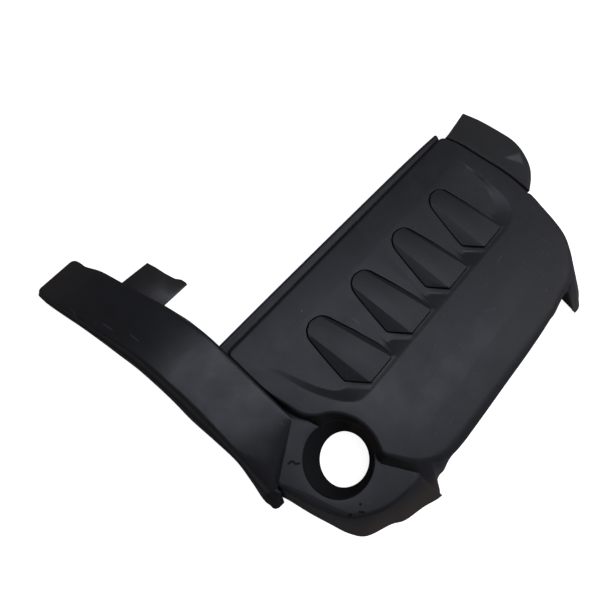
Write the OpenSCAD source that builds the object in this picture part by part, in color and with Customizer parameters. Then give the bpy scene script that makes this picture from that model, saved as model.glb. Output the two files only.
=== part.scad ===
// Engine cover: a moulded shell with a sunken pan of four inset panels, a funnel around the
// oil filler, a channel cover along one end and an end extension. Origin on the axis of the
// filler opening, in the middle of its straight land. X runs along the row of panels, Z is up.

/* [Shell] */
// wall thickness of every moulded part
wall = 2.8; // [2.6:0.1:3.2]
// height of the main top face above the middle of the filler land
top_z = 45; // [43:0.5:48]
// depth from the main top face to the feet
foot_drop = 62; // [58:1:66]
// depth of the rear skirt below the main top face
rear_drop = 42; // [36:1:50]
// radius of the roll along the rear edge
rear_roll = 20; // [16:1:22]

/* [Filler] */
// radius of the filler opening
filler_r = 30; // [28:0.5:31]
// height of the straight land of the filler opening
land_h = 6; // [6:1:10]
// depth of the lower deck around the filler below the main top face
deck_drop = 20; // [18:1:23]

/* [Pan] */
// deepest point of the sunken pan
pan_depth = 7; // [5:0.5:8]
// depth of the floor of the panel pockets below the main top face
pocket_drop = 15; // [14:0.5:18]
// width of the raised collar at the flat end of each panel
collar_w = 6; // [5:0.5:7]
// depth of the collar below the main top face
collar_drop = 1.6; // [1:0.2:2.4]

/* [Panels] */
// distance from one inset panel to the next
pitch = 76; // [74:0.5:77]
// gap around each inset panel
panel_gap = 1.8; // [1.4:0.2:2.4]
// height of a panel's flat facet above the main top face
panel_rise = 0.6; // [0.2:0.2:1.2]
// radius of the staked posts below each panel
post_r = 3; // [2.4:0.2:3.6]

/* [Lip] */
// depth of the gutter along the front lip
gutter_drop = 7; // [6:0.5:8]
// depth of the rounded top of the front lip
lip_drop = 3; // [2:0.5:4]
// depth of the front lip's outer wall
lip_skirt = 20; // [16:1:26]

/* [Channel cover] */
// height of the channel cover's top above the main top face
arm_rise = 4; // [3:0.5:5]
// radius of the channel cover's long edges
arm_roll = 4; // [3.4:0.2:5]
// depth of the side tab below the main top face
tab_drop = 40; // [38:1:42]

/* [End extension] */
// width of the open line between the shell and the end extension
end_gap = 3; // [2:0.5:4]
// fall of the end extension to its outer edge
end_fall = 15; // [12:1:18]

/* [Grommets] */
// radius of the ball socket in each rubber grommet
socket_r = 5; // [4:0.5:6]
// depth of the grommet seats below the main top face
seat_drop = 24; // [22:1:28]

/* [Hidden] */
$fn = 48;
eps = 0.01;
t = wall;
zt = top_z;
z_deck = zt - deck_drop;
z_foot = zt - foot_drop;
rib_w = 2;
rib_drop = 12;
over = 2;

// curves
function hop(a, b) = norm([b[0] - a[0], b[1] - a[1]]);
function bow(a, b, ma, mb, s, u) =
    (2*u*u*u - 3*u*u + 1)*a + s*(u*u*u - 2*u*u + u)*ma + (3*u*u - 2*u*u*u)*b + s*(u*u*u - u*u)*mb;
function lean(k, i) = let (n = len(k), a = k[(i + n - 1) % n], b = k[i % n], c = k[(i + 1) % n])
    (c - a) / (hop(a, b) + hop(b, c));
// a closed curve through the key stations, m steps from each station to the next
function closed(k, m) = let (n = len(k))
    [for (i = [0:n-1]) for (j = [0:m-1])
        bow(k[i], k[(i+1) % n], lean(k, i), lean(k, i + 1), hop(k[i], k[(i+1) % n]), j / m)];
function side(r, i) = let (n = len(r), d = r[(i+1) % n] - r[(i+n-1) % n], l = norm([d[0], d[1]]))
    [d[1] / l, -d[0] / l];
function grown(r, d) = [for (i = [0:len(r)-1]) let (s = side(r, i)) [r[i][0] + d*s[0], r[i][1] + d*s[1]]];
function lift(r, z) = [for (p = r) [p[0], p[1], z]];
function mid(r) = let (n = len(r)) [for (c = [0:2]) [for (p = r) p[c]] * [for (p = r) 1] / n];

// building solids through rings of points
function flat(l) = [for (a = l) for (b = a) b];
function band(n, a, b) = flat([for (i = [0:n-1]) let (j = (i+1) % n)
    [[a + i, a + j, b + j], [a + i, b + j, b + i]]]);
function fan(n, a, c, up) = [for (i = [0:n-1]) let (j = (i+1) % n) up ? [c, a + j, a + i] : [c, a + i, a + j]];
function twist(p, f) = [for (q = f) cross(p[q[0]], p[q[1]]) * p[q[2]]] * [for (q = f) 1];
// a solid through closed rings, closed at both ends about the points c0 and c1
module loft(rings, c0, c1) {
    n = len(rings[0]);
    m = len(rings);
    p = concat(flat(rings), [c0, c1]);
    f = concat(
        flat([for (k = [0:m-2]) band(n, k*n, (k+1)*n)]),
        fan(n, 0, m*n, true),
        fan(n, (m-1)*n, m*n + 1, false));
    polyhedron(points = p, faces = twist(p, f) < 0 ? f : [for (q = f) [q[2], q[1], q[0]]],
        convexity = 10);
}

// rolled shell
// a station is [x, y, roll radius, foot x, foot y, foot z]; the face is flat inside the ring
turns = [0, 1/3, 2/3, 1];
in_turns = [0, 1/2, 1];
steep = 30;
// the angle at which the straight wall to the foot leaves the roll
function touch(s, i, z) = let (n = side(s, i), q = s[i], r = max(q[2], gap_roll),
    d = [(q[3] - q[0])*n[0] + (q[4] - q[1])*n[1], max(q[5], z_foot) - z + r])
    min(90, max(steep, 90 - atan2(d[1], d[0]) - acos(min(1, r / norm(d)))));
function roll_ring(s, z, u) = [for (i = [0:len(s)-1])
    let (n = side(s, i), q = s[i], r = max(q[2], gap_roll), a = u * touch(s, i, z))
    [q[0] + n[0]*r*sin(a), q[1] + n[1]*r*sin(a), z - r + r*cos(a)]];
function in_ring(s, z, u) = [for (i = [0:len(s)-1])
    let (n = side(s, i), q = s[i], r = max(q[2] - t, small_roll), o = max(q[2], gap_roll) - t - r,
        a = u * touch(s, i, z))
    [q[0] + n[0]*(o + r*sin(a)), q[1] + n[1]*(o + r*sin(a)), z - t - r + r*cos(a)]];
function foot_ring(s, z, d) = [for (i = [0:len(s)-1]) let (n = side(s, i), q = s[i], w = d / sin(touch(s, i, z)))
    [q[3] - n[0]*w, q[4] - n[1]*w, max(q[5], z_foot)]];
module rolled_shell(s, z, c) {
    loft(concat(
        [for (u = in_turns) in_ring(s, z, u)],
        [foot_ring(s, z, t)],
        [foot_ring(s, z, 0)],
        [for (k = [0:len(turns)-1]) roll_ring(s, z, turns[len(turns) - 1 - k])]),
        [c[0], c[1], z - t], [c[0], c[1], z]);
}

// everything past the second panel is carried with the last panel
drawn_pitch = 76;
carry_x = 150;
function carry(x) = x > carry_x ? x + 3*(pitch - drawn_pitch) : x;
function carried(r) = [for (p = r) concat([carry(p[0])], [for (i = [1:len(p)-1]) p[i]])];
function carried_station(q) = [carry(q[0]), q[1], q[2], carry(q[3]), q[4], q[5]];

// main outline
rear_y = -64;
front_y = 172;
rear_foot = rear_y - rear_roll - 8;
z_rear = zt - rear_drop;
z_short = z_deck - t;
z_gap = zt - 6;
z_shelf = zt - 31;
small_roll = 0.6;
gap_roll = t + small_roll;
bite = [-24.5, 16, 55 + gap_roll];
deck_ring_c = [-9.5, 12];
deck_ring_r = filler_r + 10;
function on(c, r, a) = [c[0] + r*cos(a), c[1] + r*sin(a)];
bite_angles = [60, 47, 32, 17, 2, -13, -26];
function bite_station(a) = let (p = on(bite, bite[2], a), w = on(bite, bite[2] - gap_roll, a),
    d = [w[0] - deck_ring_c[0], w[1] - deck_ring_c[1]], l = norm(d), r = min(l, deck_ring_r + 1))
    [p[0], p[1], gap_roll, deck_ring_c[0] + d[0]*r/l, deck_ring_c[1] + d[1]*r/l, z_short];
main_keys = [for (q = concat([
    // rear edge, from the filler end to the far corner
    [62, -58, 10, 64, -107, z_foot],
    [72, -62, 16, 76, -104, z_foot + 6],
    [92, rear_y, rear_roll, 94, rear_foot - 4, z_rear - 6],
    [125, rear_y - 1, rear_roll, 125, rear_foot, z_rear],
    [184, rear_y - 1, rear_roll, 184, rear_foot, z_rear],
    [250, rear_y - 1, rear_roll, 250, rear_foot, z_rear],
    [300, rear_y + 1, rear_roll, 302, rear_foot, z_rear],
    [328, rear_y + 5, rear_roll, 332, rear_foot - 4, z_rear],
    // notch beside the far foot
    [344, rear_y + 7.5, rear_roll + 4, 347, rear_foot + 10, z_rear + 20],
    [354, rear_y + 11.5, rear_roll + 10, 361, rear_foot + 8, z_rear + 18],
    // far foot and end edge
    [360, rear_y + 15, rear_roll + 13, 375.5, rear_foot - 36, z_foot],
    [368, rear_y + 21, rear_roll + 17, 397, rear_foot - 29, z_foot],
    [379, rear_y + 31, rear_roll + 14, 408, rear_foot - 9, z_foot + 8],
    [389, -21, rear_roll + 8, 415, -61, z_rear],
    [395, -4, rear_roll + 1, 414, -12, z_rear],
    [400, 20, 13, 414, 16, z_rear + 6],
    [404, 40, 6, 411, 38, z_rear + 16],
    // straight short wall facing the end extension
    [403, 46, gap_roll, 406, 46, z_gap - 8],
    [401.5, 68, gap_roll, 404.5, 68.5, z_gap],
    [396.5, 92, gap_roll, 399.5, 92.8, z_gap],
    [387.5, 122, gap_roll, 390.5, 122.8, z_gap],
    [378.5, 151, gap_roll, 381.3, 152.2, z_gap],
    [371, 167, gap_roll, 373.6, 168.4, z_gap],
    [368.6, 170.4, gap_roll, 370.4, 172.6, z_gap],
    // front edge above the gutter
    [365, front_y, gap_roll, 365.5, front_y + 3, z_gap],
    [340, front_y, gap_roll, 340, front_y + 3, z_gap],
    [175, front_y, gap_roll, 175, front_y + 3, z_gap],
    [10, front_y, gap_roll, 10, front_y + 3, z_gap],
    [-6, front_y, gap_roll, -7, front_y + 3, z_gap],
    [-11.4, 170, gap_roll, -14, 172, z_gap - 4],
    // edge along the channel cover, down to the slot
    [-13, 162, gap_roll, -16.4, 162, z_shelf],
    [-13.2, 144, gap_roll, -16.6, 144, z_shelf],
    [-13, 118, gap_roll, -16.4, 117, z_shelf],
    [-9, 95, gap_roll, -12.3, 94, z_shelf],
    [-4.5, 78, gap_roll, -7.7, 77, z_shelf]],
    // edge around the filler
    [for (a = bite_angles) bite_station(a)],
    // corner and short wall above the lower deck
    [[26.5, -14, gap_roll, 18, -24, z_short],
    [32, -24, 5, 22, -35, z_short],
    [40, -37, 7, 29.5, -48, z_short],
    [49, -48.5, 8, 37, -62, z_short],
    [54, -52.5, 9, 43, -90, z_foot + 22],
    [58, -55.5, 9, 52, -119, z_foot]])) carried_station(q)];
main_mid = [180, 50];

// lower deck
z_tuck = z_deck - 6;
deck_roll = 6;
deck_keys = [
    [-67, 39, deck_roll, -76, 30, z_foot],
    [-63, 22, deck_roll, -72, 14, z_foot],
    [-56, -2, deck_roll, -66, -14, z_foot],
    [-50, -18, deck_roll, -60, -36, z_foot],
    [-42, -34, deck_roll, -53, -60, z_foot],
    [-26, -48, deck_roll, -41, -79, z_foot],
    [-4, -59, deck_roll, -12, -94, z_foot],
    [8, -62.5, deck_roll, 2, -104, z_foot],
    [24, -66, deck_roll, 29, -113, z_foot],
    [36, -67.5, deck_roll, 51, -122, z_foot],
    [41, -64, 4, 54, -117, z_foot],
    [40, -55, 4, 44, -55, z_tuck],
    [34, -43, 4, 38, -41, z_tuck],
    [27, -28, 4, 31, -26, z_tuck],
    [31, -12, 4, 35, -12, z_tuck],
    [33, 8, 4, 37, 8, z_tuck],
    [32, 28, 4, 36, 29, z_tuck],
    [25, 44, 4, 28, 47, z_tuck],
    [12, 56, 4, 14, 60, z_tuck],
    [-3, 63, 4, -2, 67, z_tuck],
    [-9, 72, 4, -5, 74, z_tuck],
    [-12, 84, 4, -8, 86, z_tuck],
    [-16, 96, 4, -14, 100, z_tuck],
    [-40, 99, 4, -40, 103, z_tuck],
    [-60, 96, 4, -63, 100, z_tuck],
    [-70, 80, 4, -74, 80, z_tuck],
    [-70, 58, 4, -75, 56, z_tuck]];
deck_mid = [-10, 10];

// pan
pan_y1 = 142;
pan_y0 = 36;
bank_y = 58;
pan_top = [
    [0, pan_y1], [5, 120], [11, 97], [19, 76], [30, 56], [41, 43], [51, 37.4], [72, pan_y0],
    [130, pan_y0], [260, pan_y0], [335, pan_y0], [350, 38.5], [361, 46], [366, 60], [367, 79],
    [364, 103], [361, 125], [357, pan_y1], [260, pan_y1], [130, pan_y1]];
pan_low = [
    [4, 140], [11, 122], [19, 101], [26, 84], [35, 69], [44, 62], [54, 59], [74, bank_y],
    [130, bank_y], [260, bank_y], [330, bank_y], [343, 59], [352, 63], [357, 71], [359, 86],
    [358, 104], [356, 124], [353, 140], [260, 140], [130, 140]];
function pan_z(y) = zt - pan_depth * (pan_y1 - y) / (pan_y1 - bank_y);
function on_floor(r, d) = [for (p = r) [p[0], p[1], pan_z(p[1]) - d]];
pan_c = [190, 92];
module pan_solid(low, top, d, z1) {
    loft([on_floor(low, d), lift(top, zt - min(d, t)), lift(top, z1)],
        [pan_c[0], pan_c[1], pan_z(pan_c[1]) - d], [pan_c[0], pan_c[1], z1]);
}

// inset panel outline
panel_keys = [
    [69.6, 44.6], [106.6, 44.8], [109, 51], [110, 57.4], [109.2, 63.4], [103.6, 80.6], [98.4, 96.8],
    [90.2, 118.8], [87.6, 125.4], [83.4, 130.8], [76, 134.4], [67.6, 135.2], [60.4, 132], [56.2, 125.2],
    [54, 103], [52.6, 77.4], [52.2, 65.6]];
ridge_a = [[58.4, 127], [68.6, 46.5]];
ridge_b = [[83, 128], [105.6, 50]];
facet_a = [52.2, 65.6];
facet_b = [109.2, 63.4];
panel_skirt = 9;
post_head = 2;
post_in = 0.5;
post_spots = [[73, 118], [86, 66]];
foot_z = zt - pocket_drop;

module panel_outline(d) { polygon(grown(panel_keys, d)); }

// a half space over the plane through three points
module above(p, q, s, big = 200) {
    u = (q - p) / norm(q - p);
    w = cross(u, s - p);
    n = w / norm(w);
    v = cross(n, u);
    multmatrix([[u[0], v[0], n[0], p[0]], [u[1], v[1], n[1], p[1]], [u[2], v[2], n[2], p[2]], [0, 0, 0, 1]])
        translate([-big/2, -big/2, 0]) cube([big, big, big]);
}

module panel_facets(z, drop) {
    // the broad facet on the filler side, then the narrow one on the other side
    above([ridge_a[1][0], ridge_a[1][1], z], [ridge_a[0][0], ridge_a[0][1], z],
        [facet_a[0], facet_a[1], z - drop]);
    above([ridge_b[0][0], ridge_b[0][1], z], [ridge_b[1][0], ridge_b[1][1], z],
        [facet_b[0], facet_b[1], z - drop]);
}

module panel_body() {
    z = zt + panel_rise;
    difference() {
        translate([0, 0, zt - panel_skirt]) linear_extrude(panel_skirt + panel_rise) panel_outline(0);
        panel_facets(z, pan_depth - small_roll);
        difference() {
            translate([0, 0, zt - panel_skirt - over])
                linear_extrude(panel_skirt + over + panel_rise - t) panel_outline(-t);
            panel_facets(z - t, pan_depth - small_roll);
        }
    }
    for (p = post_spots) translate([p[0], p[1], foot_z - t - post_head]) {
        cylinder(r = post_r, h = pocket_drop + post_head + panel_rise + post_in);
        cylinder(r = post_r + post_head, h = post_head);
        translate([0, 0, t + post_head]) cylinder(r = post_r + post_head, h = pocket_drop - t - 2*post_head);
    }
}

// main cover
grommet_spots = [[62, -18], [carry(346), -22], [44, 156], [carry(340), 156]];
cup_r = 15;
cup_wall = 2.2;
neck_r = 8;
cup_floor = zt - seat_drop;
lug_spots = [[carry(392), 80], [carry(374), 140]];
lug_size = [10, 18];
lug_in = 2;
boss_r = 5;
arm_stakes = [[-46, 92], [-34, 146]];
pin_r = 2;
fit = 0.15;
lug_drop = 9;
stake_r = pin_r + 0.5;
stake_h = 1.5;
ledge = 0.3;

module cup(p) {
    translate([p[0], p[1], cup_floor]) difference() {
        cylinder(r = cup_r, h = seat_drop - t + post_in);
        translate([0, 0, t]) cylinder(r = cup_r - cup_wall, h = seat_drop - 2*t);
        translate([0, 0, -over]) cylinder(r = neck_r, h = 3*over + t);
    }
}

// the slanted funnel from the lower deck to the filler opening, and the opening's straight land
module funnel(d, z1, down) {
    a = [for (i = [0:47]) 360*i/48];
    z0 = land_h/2;
    f = (z1 - z0) / (z_deck - z0);
    c = deck_ring_c * f;
    r = filler_r + (deck_ring_r - filler_r) * f;
    loft([
        [for (k = a) concat(on([0, 0], filler_r + d + ledge, k), [z0])],
        [for (k = a) concat(on(c, r + d, k), [z1])]],
        [0, 0, z0], [c[0], c[1], z1]);
    translate([0, 0, -land_h/2 - down]) cylinder(r = filler_r + d, h = land_h + down + 0.5);
}

lip_keys = carried([[-15.5, 185], [46, 186.6], [109, 185.8], [194, 183], [288, 180], [352, 181], [364, 180.6]]);
lip_end = len(lip_keys) - 1;
lip_width = 7.5;
inner_keys = [for (i = [0:lip_end]) lip_keys[i] + (i == 0 ? [t, 0] : i == lip_end ? [-t, 0] : [0, 0])];
gutter_w = 10.6;
function lip_ring(p) = let (y0 = p[1] - lip_width, y1 = p[1], z1 = zt - lip_drop, z0 = zt - lip_skirt)
    [[p[0], y0, z0], [p[0], y1, z0], [p[0], y1, z1 - 4], [p[0], y1 - 1.2, z1 - 1.4],
     [p[0], y1 - 4, z1], [p[0], y0 + 3, z1 - 0.6], [p[0], y0 + 0.8, z1 - 2], [p[0], y0, z1 - 4]];
function lip_hollow(p) = let (y0 = p[1] - lip_width + t, y1 = p[1] - t, z1 = zt - lip_drop - t)
    [[p[0], y0, zt - lip_skirt - over], [p[0], y1, zt - lip_skirt - over], [p[0], y1, z1 - 2],
     [p[0], y0, z1 - 2]];
module lip() {
    difference() {
        union() {
            loft([for (p = lip_keys) lip_ring(p)], mid(lip_ring(lip_keys[0])),
                mid(lip_ring(lip_keys[lip_end])));
            translate([lip_keys[0][0], front_y - 3, zt - gutter_drop - t])
                cube([lip_keys[lip_end][0] + 1 - lip_keys[0][0], gutter_w, t]);
            translate([lip_keys[0][0], front_y - 1, zt - gutter_drop - t])
                cube([lip_keys[lip_end][0] + 1 - lip_keys[0][0], t, gutter_drop - 2]);
        }
        loft([for (p = inner_keys) lip_hollow(p)],
            mid(lip_hollow(inner_keys[0])), mid(lip_hollow(inner_keys[lip_end])));
    }
}

rib_x = 110;
rib_y = [-70, 32];
long_rib_x = 60;
long_rib_y = [-45, 8];
module ribs() {
    z = zt - rib_drop;
    h = rib_drop - t + post_in;
    for (k = [0:3]) translate([rib_x + k*pitch, rib_y[0], z]) cube([rib_w, rib_y[1] - rib_y[0], h]);
    for (y = long_rib_y) translate([long_rib_x, y, z]) cube([carry(380) - long_rib_x, rib_w, h]);
}

// rib inside the far foot, seen through the notch beside it
foot_rib = [376, -125.5, -88];
foot_rise = 0.86;
module foot_stiffener() {
    d = foot_rib[2] - foot_rib[1];
    translate([carry(foot_rib[0]), 0, 0]) rotate([90, 0, 90]) linear_extrude(rib_w)
        polygon([[foot_rib[1], z_foot], [foot_rib[2], z_foot], [foot_rib[2], z_foot + d*foot_rise]]);
}

shelf_drop = 30;
shelf_x = [-62, -10];
shelf_y = [70, 162];
pin_hole = 9;
module carrier() {
    // shelf below the slot that carries the channel cover
    translate([shelf_x[0], shelf_y[0], zt - shelf_drop - t])
        cube([shelf_x[1] - shelf_x[0], shelf_y[1] - shelf_y[0], t]);
    for (p = arm_stakes) translate([p[0], p[1], zt - shelf_drop - t]) {
        difference() {
            cylinder(r = boss_r, h = shelf_drop + arm_rise);
            translate([0, 0, shelf_drop + arm_rise - pin_hole])
                cylinder(r = pin_r + fit, h = pin_hole + over);
        }
    }
    translate([shelf_x[0], shelf_y[0] + 4, zt - shelf_drop - t])
        cube([shelf_x[1] - shelf_x[0] - 2, t, shelf_drop - deck_drop + 1]);
}

// a boss with a staked pin that holds one lug of the end extension
module lug_stake(p) {
    translate([p[0], p[1], zt - lug_drop]) cylinder(r = boss_r, h = lug_drop - t + post_in);
    translate([p[0], p[1], zt - lug_drop - t - stake_h]) {
        cylinder(r = stake_r, h = t + 2*stake_h);
        cylinder(r = stake_r + post_head, h = stake_h);
    }
}

module main_cover() {
    color([0.09, 0.09, 0.10]) difference() {
        union() {
            rolled_shell(closed(main_keys, 2), zt, main_mid);
            rolled_shell(closed(deck_keys, 2), z_deck, deck_mid);
            funnel(t, z_deck - 1, 0);
            pan_solid(grown(carried(pan_low), t), grown(carried(pan_top), t), t, zt - eps*5);
            for (k = [0:3]) translate([k*pitch, 0, foot_z - t])
                linear_extrude(pocket_drop + t - 0.1) panel_outline(panel_gap + t);
            lip();
            ribs();
            foot_stiffener();
            carrier();
            for (p = grommet_spots) cup(p);
            for (p = lug_spots) lug_stake(p);
        }
        pan_cut();
        funnel(0, z_deck + 3, over);
        for (k = [0:3]) translate([k*pitch, 0, 0]) {
            translate([0, 0, foot_z]) linear_extrude(pocket_drop + over) panel_outline(panel_gap);
            for (p = post_spots) translate([p[0], p[1], foot_z - t - over])
                cylinder(r = post_r + fit, h = t + 2*over);
        }
    }
}

module pan_cut() {
    difference() {
        pan_solid(carried(pan_low), carried(pan_top), 0, zt + over);
        for (k = [0:3]) translate([k*pitch, 0, zt - pan_depth - t]) intersection() {
            linear_extrude(pan_depth + t - collar_drop) panel_outline(panel_gap + collar_w);
            translate([0, pan_y0 - 4, 0]) cube([200, bank_y - pan_y0 + 6, 20]);
        }
    }
}

module inset_panel(k) {
    color([0.10, 0.10, 0.11]) translate([k*pitch, 0, 0]) panel_body();
}

// channel cover
// a station is [left bottom, left top, right top, right bottom], each [x, y, z]
arm_top = zt + arm_rise;
arm_keys = [
    [[-88, 20.5, z_foot], [-70, 54, arm_top], [-17.5, 83, arm_top], [-16.5, 88, zt - 26]],
    [[-90.2, 34, z_foot], [-75.5, 60, arm_top], [-17.4, 87, arm_top], [-16.9, 92, zt - 26]],
    [[-86, 56, z_foot], [-80.5, 70, arm_top], [-17.3, 93, arm_top], [-17.3, 97, zt - 26]],
    [[-81.5, 84, z_foot], [-81, 95, arm_top], [-17.3, 106, arm_top], [-17.3, 108, zt - 26]],
    [[-82, 117, z_foot], [-80, 123, arm_top], [-17.3, 126, arm_top], [-17.3, 126, zt - 26]],
    [[-83.5, 151, z_foot], [-79, 151, arm_top], [-17.3, 150, arm_top], [-17.3, 150, zt - 26]],
    [[-82.8, 178, z_foot], [-79, 178, arm_top], [-17.3, 178, arm_top], [-17.3, 178, zt - 26]],
    [[-83.2, 204, z_foot], [-80, 204, arm_top], [-18, 202, arm_top], [-11, 202, zt - 28]],
    [[-84.5, 230, z_foot], [-81, 230, arm_top - 2], [-22, 228, arm_top - 2], [-14, 228, zt - 34]],
    [[-87.5, 255, z_foot], [-84, 255, zt - 3], [-26, 254, zt - 3], [-19, 254, zt - 41]],
    [[-90.5, 279, z_foot], [-88, 278, zt - 11], [-32, 280, zt - 11], [-27, 280, zt - 46]],
    [[-94, 303, z_foot], [-92, 303, zt - 20], [-37, 304, zt - 20], [-33, 304, zt - 50]],
    [[-98.5, 328, z_foot], [-96, 328, zt - 31], [-42, 329, zt - 31], [-39, 329, zt - 56]],
    [[-101, 344, z_foot], [-99.3, 346, zt - 41], [-48.5, 346, zt - 41], [-46, 346, z_foot]],
    [[-99.5, 357, z_foot], [-98.3, 359, zt - 49], [-53, 361, zt - 49], [-52, 361, z_foot]]];
function edge_arc(a, b, r) = [for (k = [0:3]) let (u = 30*k, e = (b - a) / norm([(b-a)[0], (b-a)[1]]))
    a + e * (r - r*cos(u)) + [0, 0, -r + r*sin(u)]];
function mix(a, b, u) = a + (b - a) * u;
function channel_ring(s, r) = concat(
    [s[0]], [mix(s[0], s[1], 0.48) - [1.6, 0, 0]], [mix(s[0], s[1], 0.52)],
    edge_arc(s[1], s[2], r),
    [for (k = [0:3]) edge_arc(s[2], s[1], r)[3 - k]],
    [s[3]]);
function inward(s, d, e) = let (u = (s[2] - s[1]) / norm(s[2] - s[1]), w = [u[0], u[1], 0])
    [s[0] + w*d - [0, 0, over*e], s[1] + w*d - [0, 0, d], s[2] - w*d - [0, 0, d],
     s[3] - w*d - [0, 0, over*e]];
function hollow_ring(s, r) = let (q = inward(s, t, 1)) channel_ring(q, max(r - t, 0.6));
function pushed(s, v) = [for (p = s) p + v];

module arm_cover() {
    n = len(arm_keys);
    far = [for (k = [0:n-1]) k < n-1 ? arm_keys[k] : pushed(arm_keys[k], [0.3, -t, 0])];
    inner = concat([pushed(far[0], [0, -over*2, 0])], far);
    color([0.08, 0.08, 0.09]) difference() {
        union() {
            loft([for (s = arm_keys) channel_ring(s, arm_roll)],
                mid(channel_ring(arm_keys[0], arm_roll)), mid(channel_ring(arm_keys[n-1], arm_roll)));
            side_tab();
        }
        loft([for (s = inner) hollow_ring(s, arm_roll)],
            mid(hollow_ring(inner[0], arm_roll)), mid(hollow_ring(inner[n], arm_roll)));
    }
    toe();
    // pins that drop into the posts of the shell's shelf
    for (p = arm_stakes) translate([p[0], p[1], arm_top - t - 8]) cylinder(r = pin_r, h = 8 + t/2);
}

// the rounded toe that closes the near end beside the deck's apron
toe_foot = [[-89.4, 26], [-88.4, 20.4], [-84.8, 17.6], [-77.5, 16.6], [-77.3, 19.4], [-83.4, 20.6],
    [-85.4, 23], [-86.4, 27]];
toe_lean = [[0, 0, 0], [5.4, 10.2, 20], [10.2, 20.8, 40]];
toe_narrow = [1, 0.62, 0.3];
module toe() {
    o = toe_foot[1];
    loft([for (k = [0:2]) [for (p = toe_foot) let (w = toe_narrow[k])
        [o[0] + toe_lean[k][0] + (p[0] - o[0]) * (p[0] > o[0] ? w : 1), o[1] + toe_lean[k][1] + p[1] - o[1],
         z_foot + toe_lean[k][2]]]],
        [o[0] + 2.4, o[1] + 0.2, z_foot], [o[0] + 10.9, o[1] + 20.6, z_foot + 40]);
}

tab_keys = [[-38, 307], [0, 305.5], [3, 296], [5.5, 284], [9, 273], [13.5, 267], [14.5, 262], [14, 259], [-24, 259]];
module side_tab() {
    translate([0, 0, zt - tab_drop - t]) linear_extrude(t) polygon(tab_keys);
}

// end extension
z_edge = zt - 1;
z_out = zt - end_fall;
z_hem = z_out - 22;
g = end_gap - 3;
edge_leg = 12;
end_keys = [for (s = [
    [[376 + g, 171, zt - edge_leg], [375 + g, 171, z_edge], [437, 178, z_out], [440, 173, z_hem]],
    [[385 + g, 152, zt - edge_leg], [384.5 + g, 152, z_edge], [448.5, 156, z_out], [452, 158, z_hem]],
    [[394 + g, 123, zt - edge_leg], [393.5 + g, 123, z_edge], [460, 126, z_out], [463, 128, z_hem]],
    [[403 + g, 94, zt - edge_leg], [402.5 + g, 94, z_edge], [466.5, 103, z_out], [469, 104, z_hem]],
    [[407 + g, 77, zt - edge_leg], [406.5 + g, 77, z_edge], [465, 84, z_out], [467, 84, z_hem]],
    [[409 + g, 64, zt - edge_leg], [408.5 + g, 64, z_edge], [456, 64, z_out], [457, 62, z_hem]],
    [[410.5 + g, 53, zt - edge_leg], [410 + g, 53, z_edge], [442, 51.5, z_out], [442, 50, z_hem]],
    [[411.5 + g, 46, zt - edge_leg], [411 + g, 46, z_edge - 2], [424, 42, z_out], [424, 40, z_hem]]]) carried(s)];
function plate_ring(s, r) = [s[0], s[1], s[2] + (s[1] - s[2]) * r / norm(s[1] - s[2]),
    mix(s[2] + (s[1] - s[2]) * r / norm(s[1] - s[2]), mix(s[2], s[3], 0.2), 0.5) + [0, 0, 1],
    mix(s[2], s[3], 0.2), s[3]];
// where the inner leg stands at a given y, so that each lug reaches into it
function leg_x(y) = lookup(-y, [for (k = [0:len(end_keys)-1]) [-end_keys[k][0][1], end_keys[k][0][0]]]);
module end_extension() {
    n = len(end_keys);
    inner = [for (k = [0:n-1]) k == 0 ? pushed(end_keys[0], [-1, -t, 0]) :
        k == n-1 ? pushed(end_keys[k], [0, t, 0]) : end_keys[k]];
    color([0.08, 0.08, 0.09]) {
        difference() {
            loft([for (s = end_keys) plate_ring(s, 6)],
                mid(plate_ring(end_keys[0], 6)), mid(plate_ring(end_keys[n-1], 6)));
            loft([for (s = inner) plate_ring(inward(s, t, 8), 5)],
                mid(plate_ring(inward(inner[0], t, 8), 5)), mid(plate_ring(inward(inner[n-1], t, 8), 5)));
        }
        for (p = [0:1]) difference() {
            translate([lug_spots[p][0] - lug_size[0], lug_spots[p][1] - lug_size[1]/2, zt - lug_drop - t])
                cube([leg_x(lug_spots[p][1]) + lug_in - lug_spots[p][0] + lug_size[0], lug_size[1], t]);
            translate([lug_spots[p][0], lug_spots[p][1], zt - lug_drop - t - over])
                cylinder(r = stake_r + fit, h = t + 2*over);
        }
    }
}

// grommets
flange_h = 3;
flange_w = 3;
head_h = 7;
lead_in = 1.5;
lead_h = 2;
module grommet(k) {
    p = grommet_spots[k];
    color([0.05, 0.05, 0.05]) translate([p[0], p[1], cup_floor]) difference() {
        union() {
            translate([0, 0, -flange_h]) cylinder(r = neck_r + flange_w, h = flange_h);
            cylinder(r = neck_r, h = t);
            translate([0, 0, t]) cylinder(r = neck_r + flange_w, h = head_h);
        }
        translate([0, 0, -flange_h - over]) cylinder(r = socket_r, h = head_h + t + over);
        translate([0, 0, -flange_h - eps]) cylinder(r1 = socket_r + lead_in, r2 = socket_r, h = lead_h);
    }
}

main_cover();
inset_panel(0);  // inset_panel_1
inset_panel(1);  // inset_panel_2
inset_panel(2);  // inset_panel_3
inset_panel(3);  // inset_panel_4
arm_cover();
end_extension();
grommet(0);  // grommet_1
grommet(1);  // grommet_2
grommet(2);  // grommet_3
grommet(3);  // grommet_4
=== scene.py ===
"""An engine cover: moulded shell with a sunken pan, four inset panels, a filler funnel,
a channel cover along one end and an end extension.

Shapes are in millimetres until a mesh is made. The origin is on the filler opening's axis, x runs
along the engine and z up. "Front" is the side of the gutter and lip, at high y, and "near" and
"far" are the ends at low and high x.
"""
import functools
import math
import bmesh
import bpy
import numpy as np
from mathutils import Matrix, Quaternion, Vector
from mathutils.bvhtree import BVHTree


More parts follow.
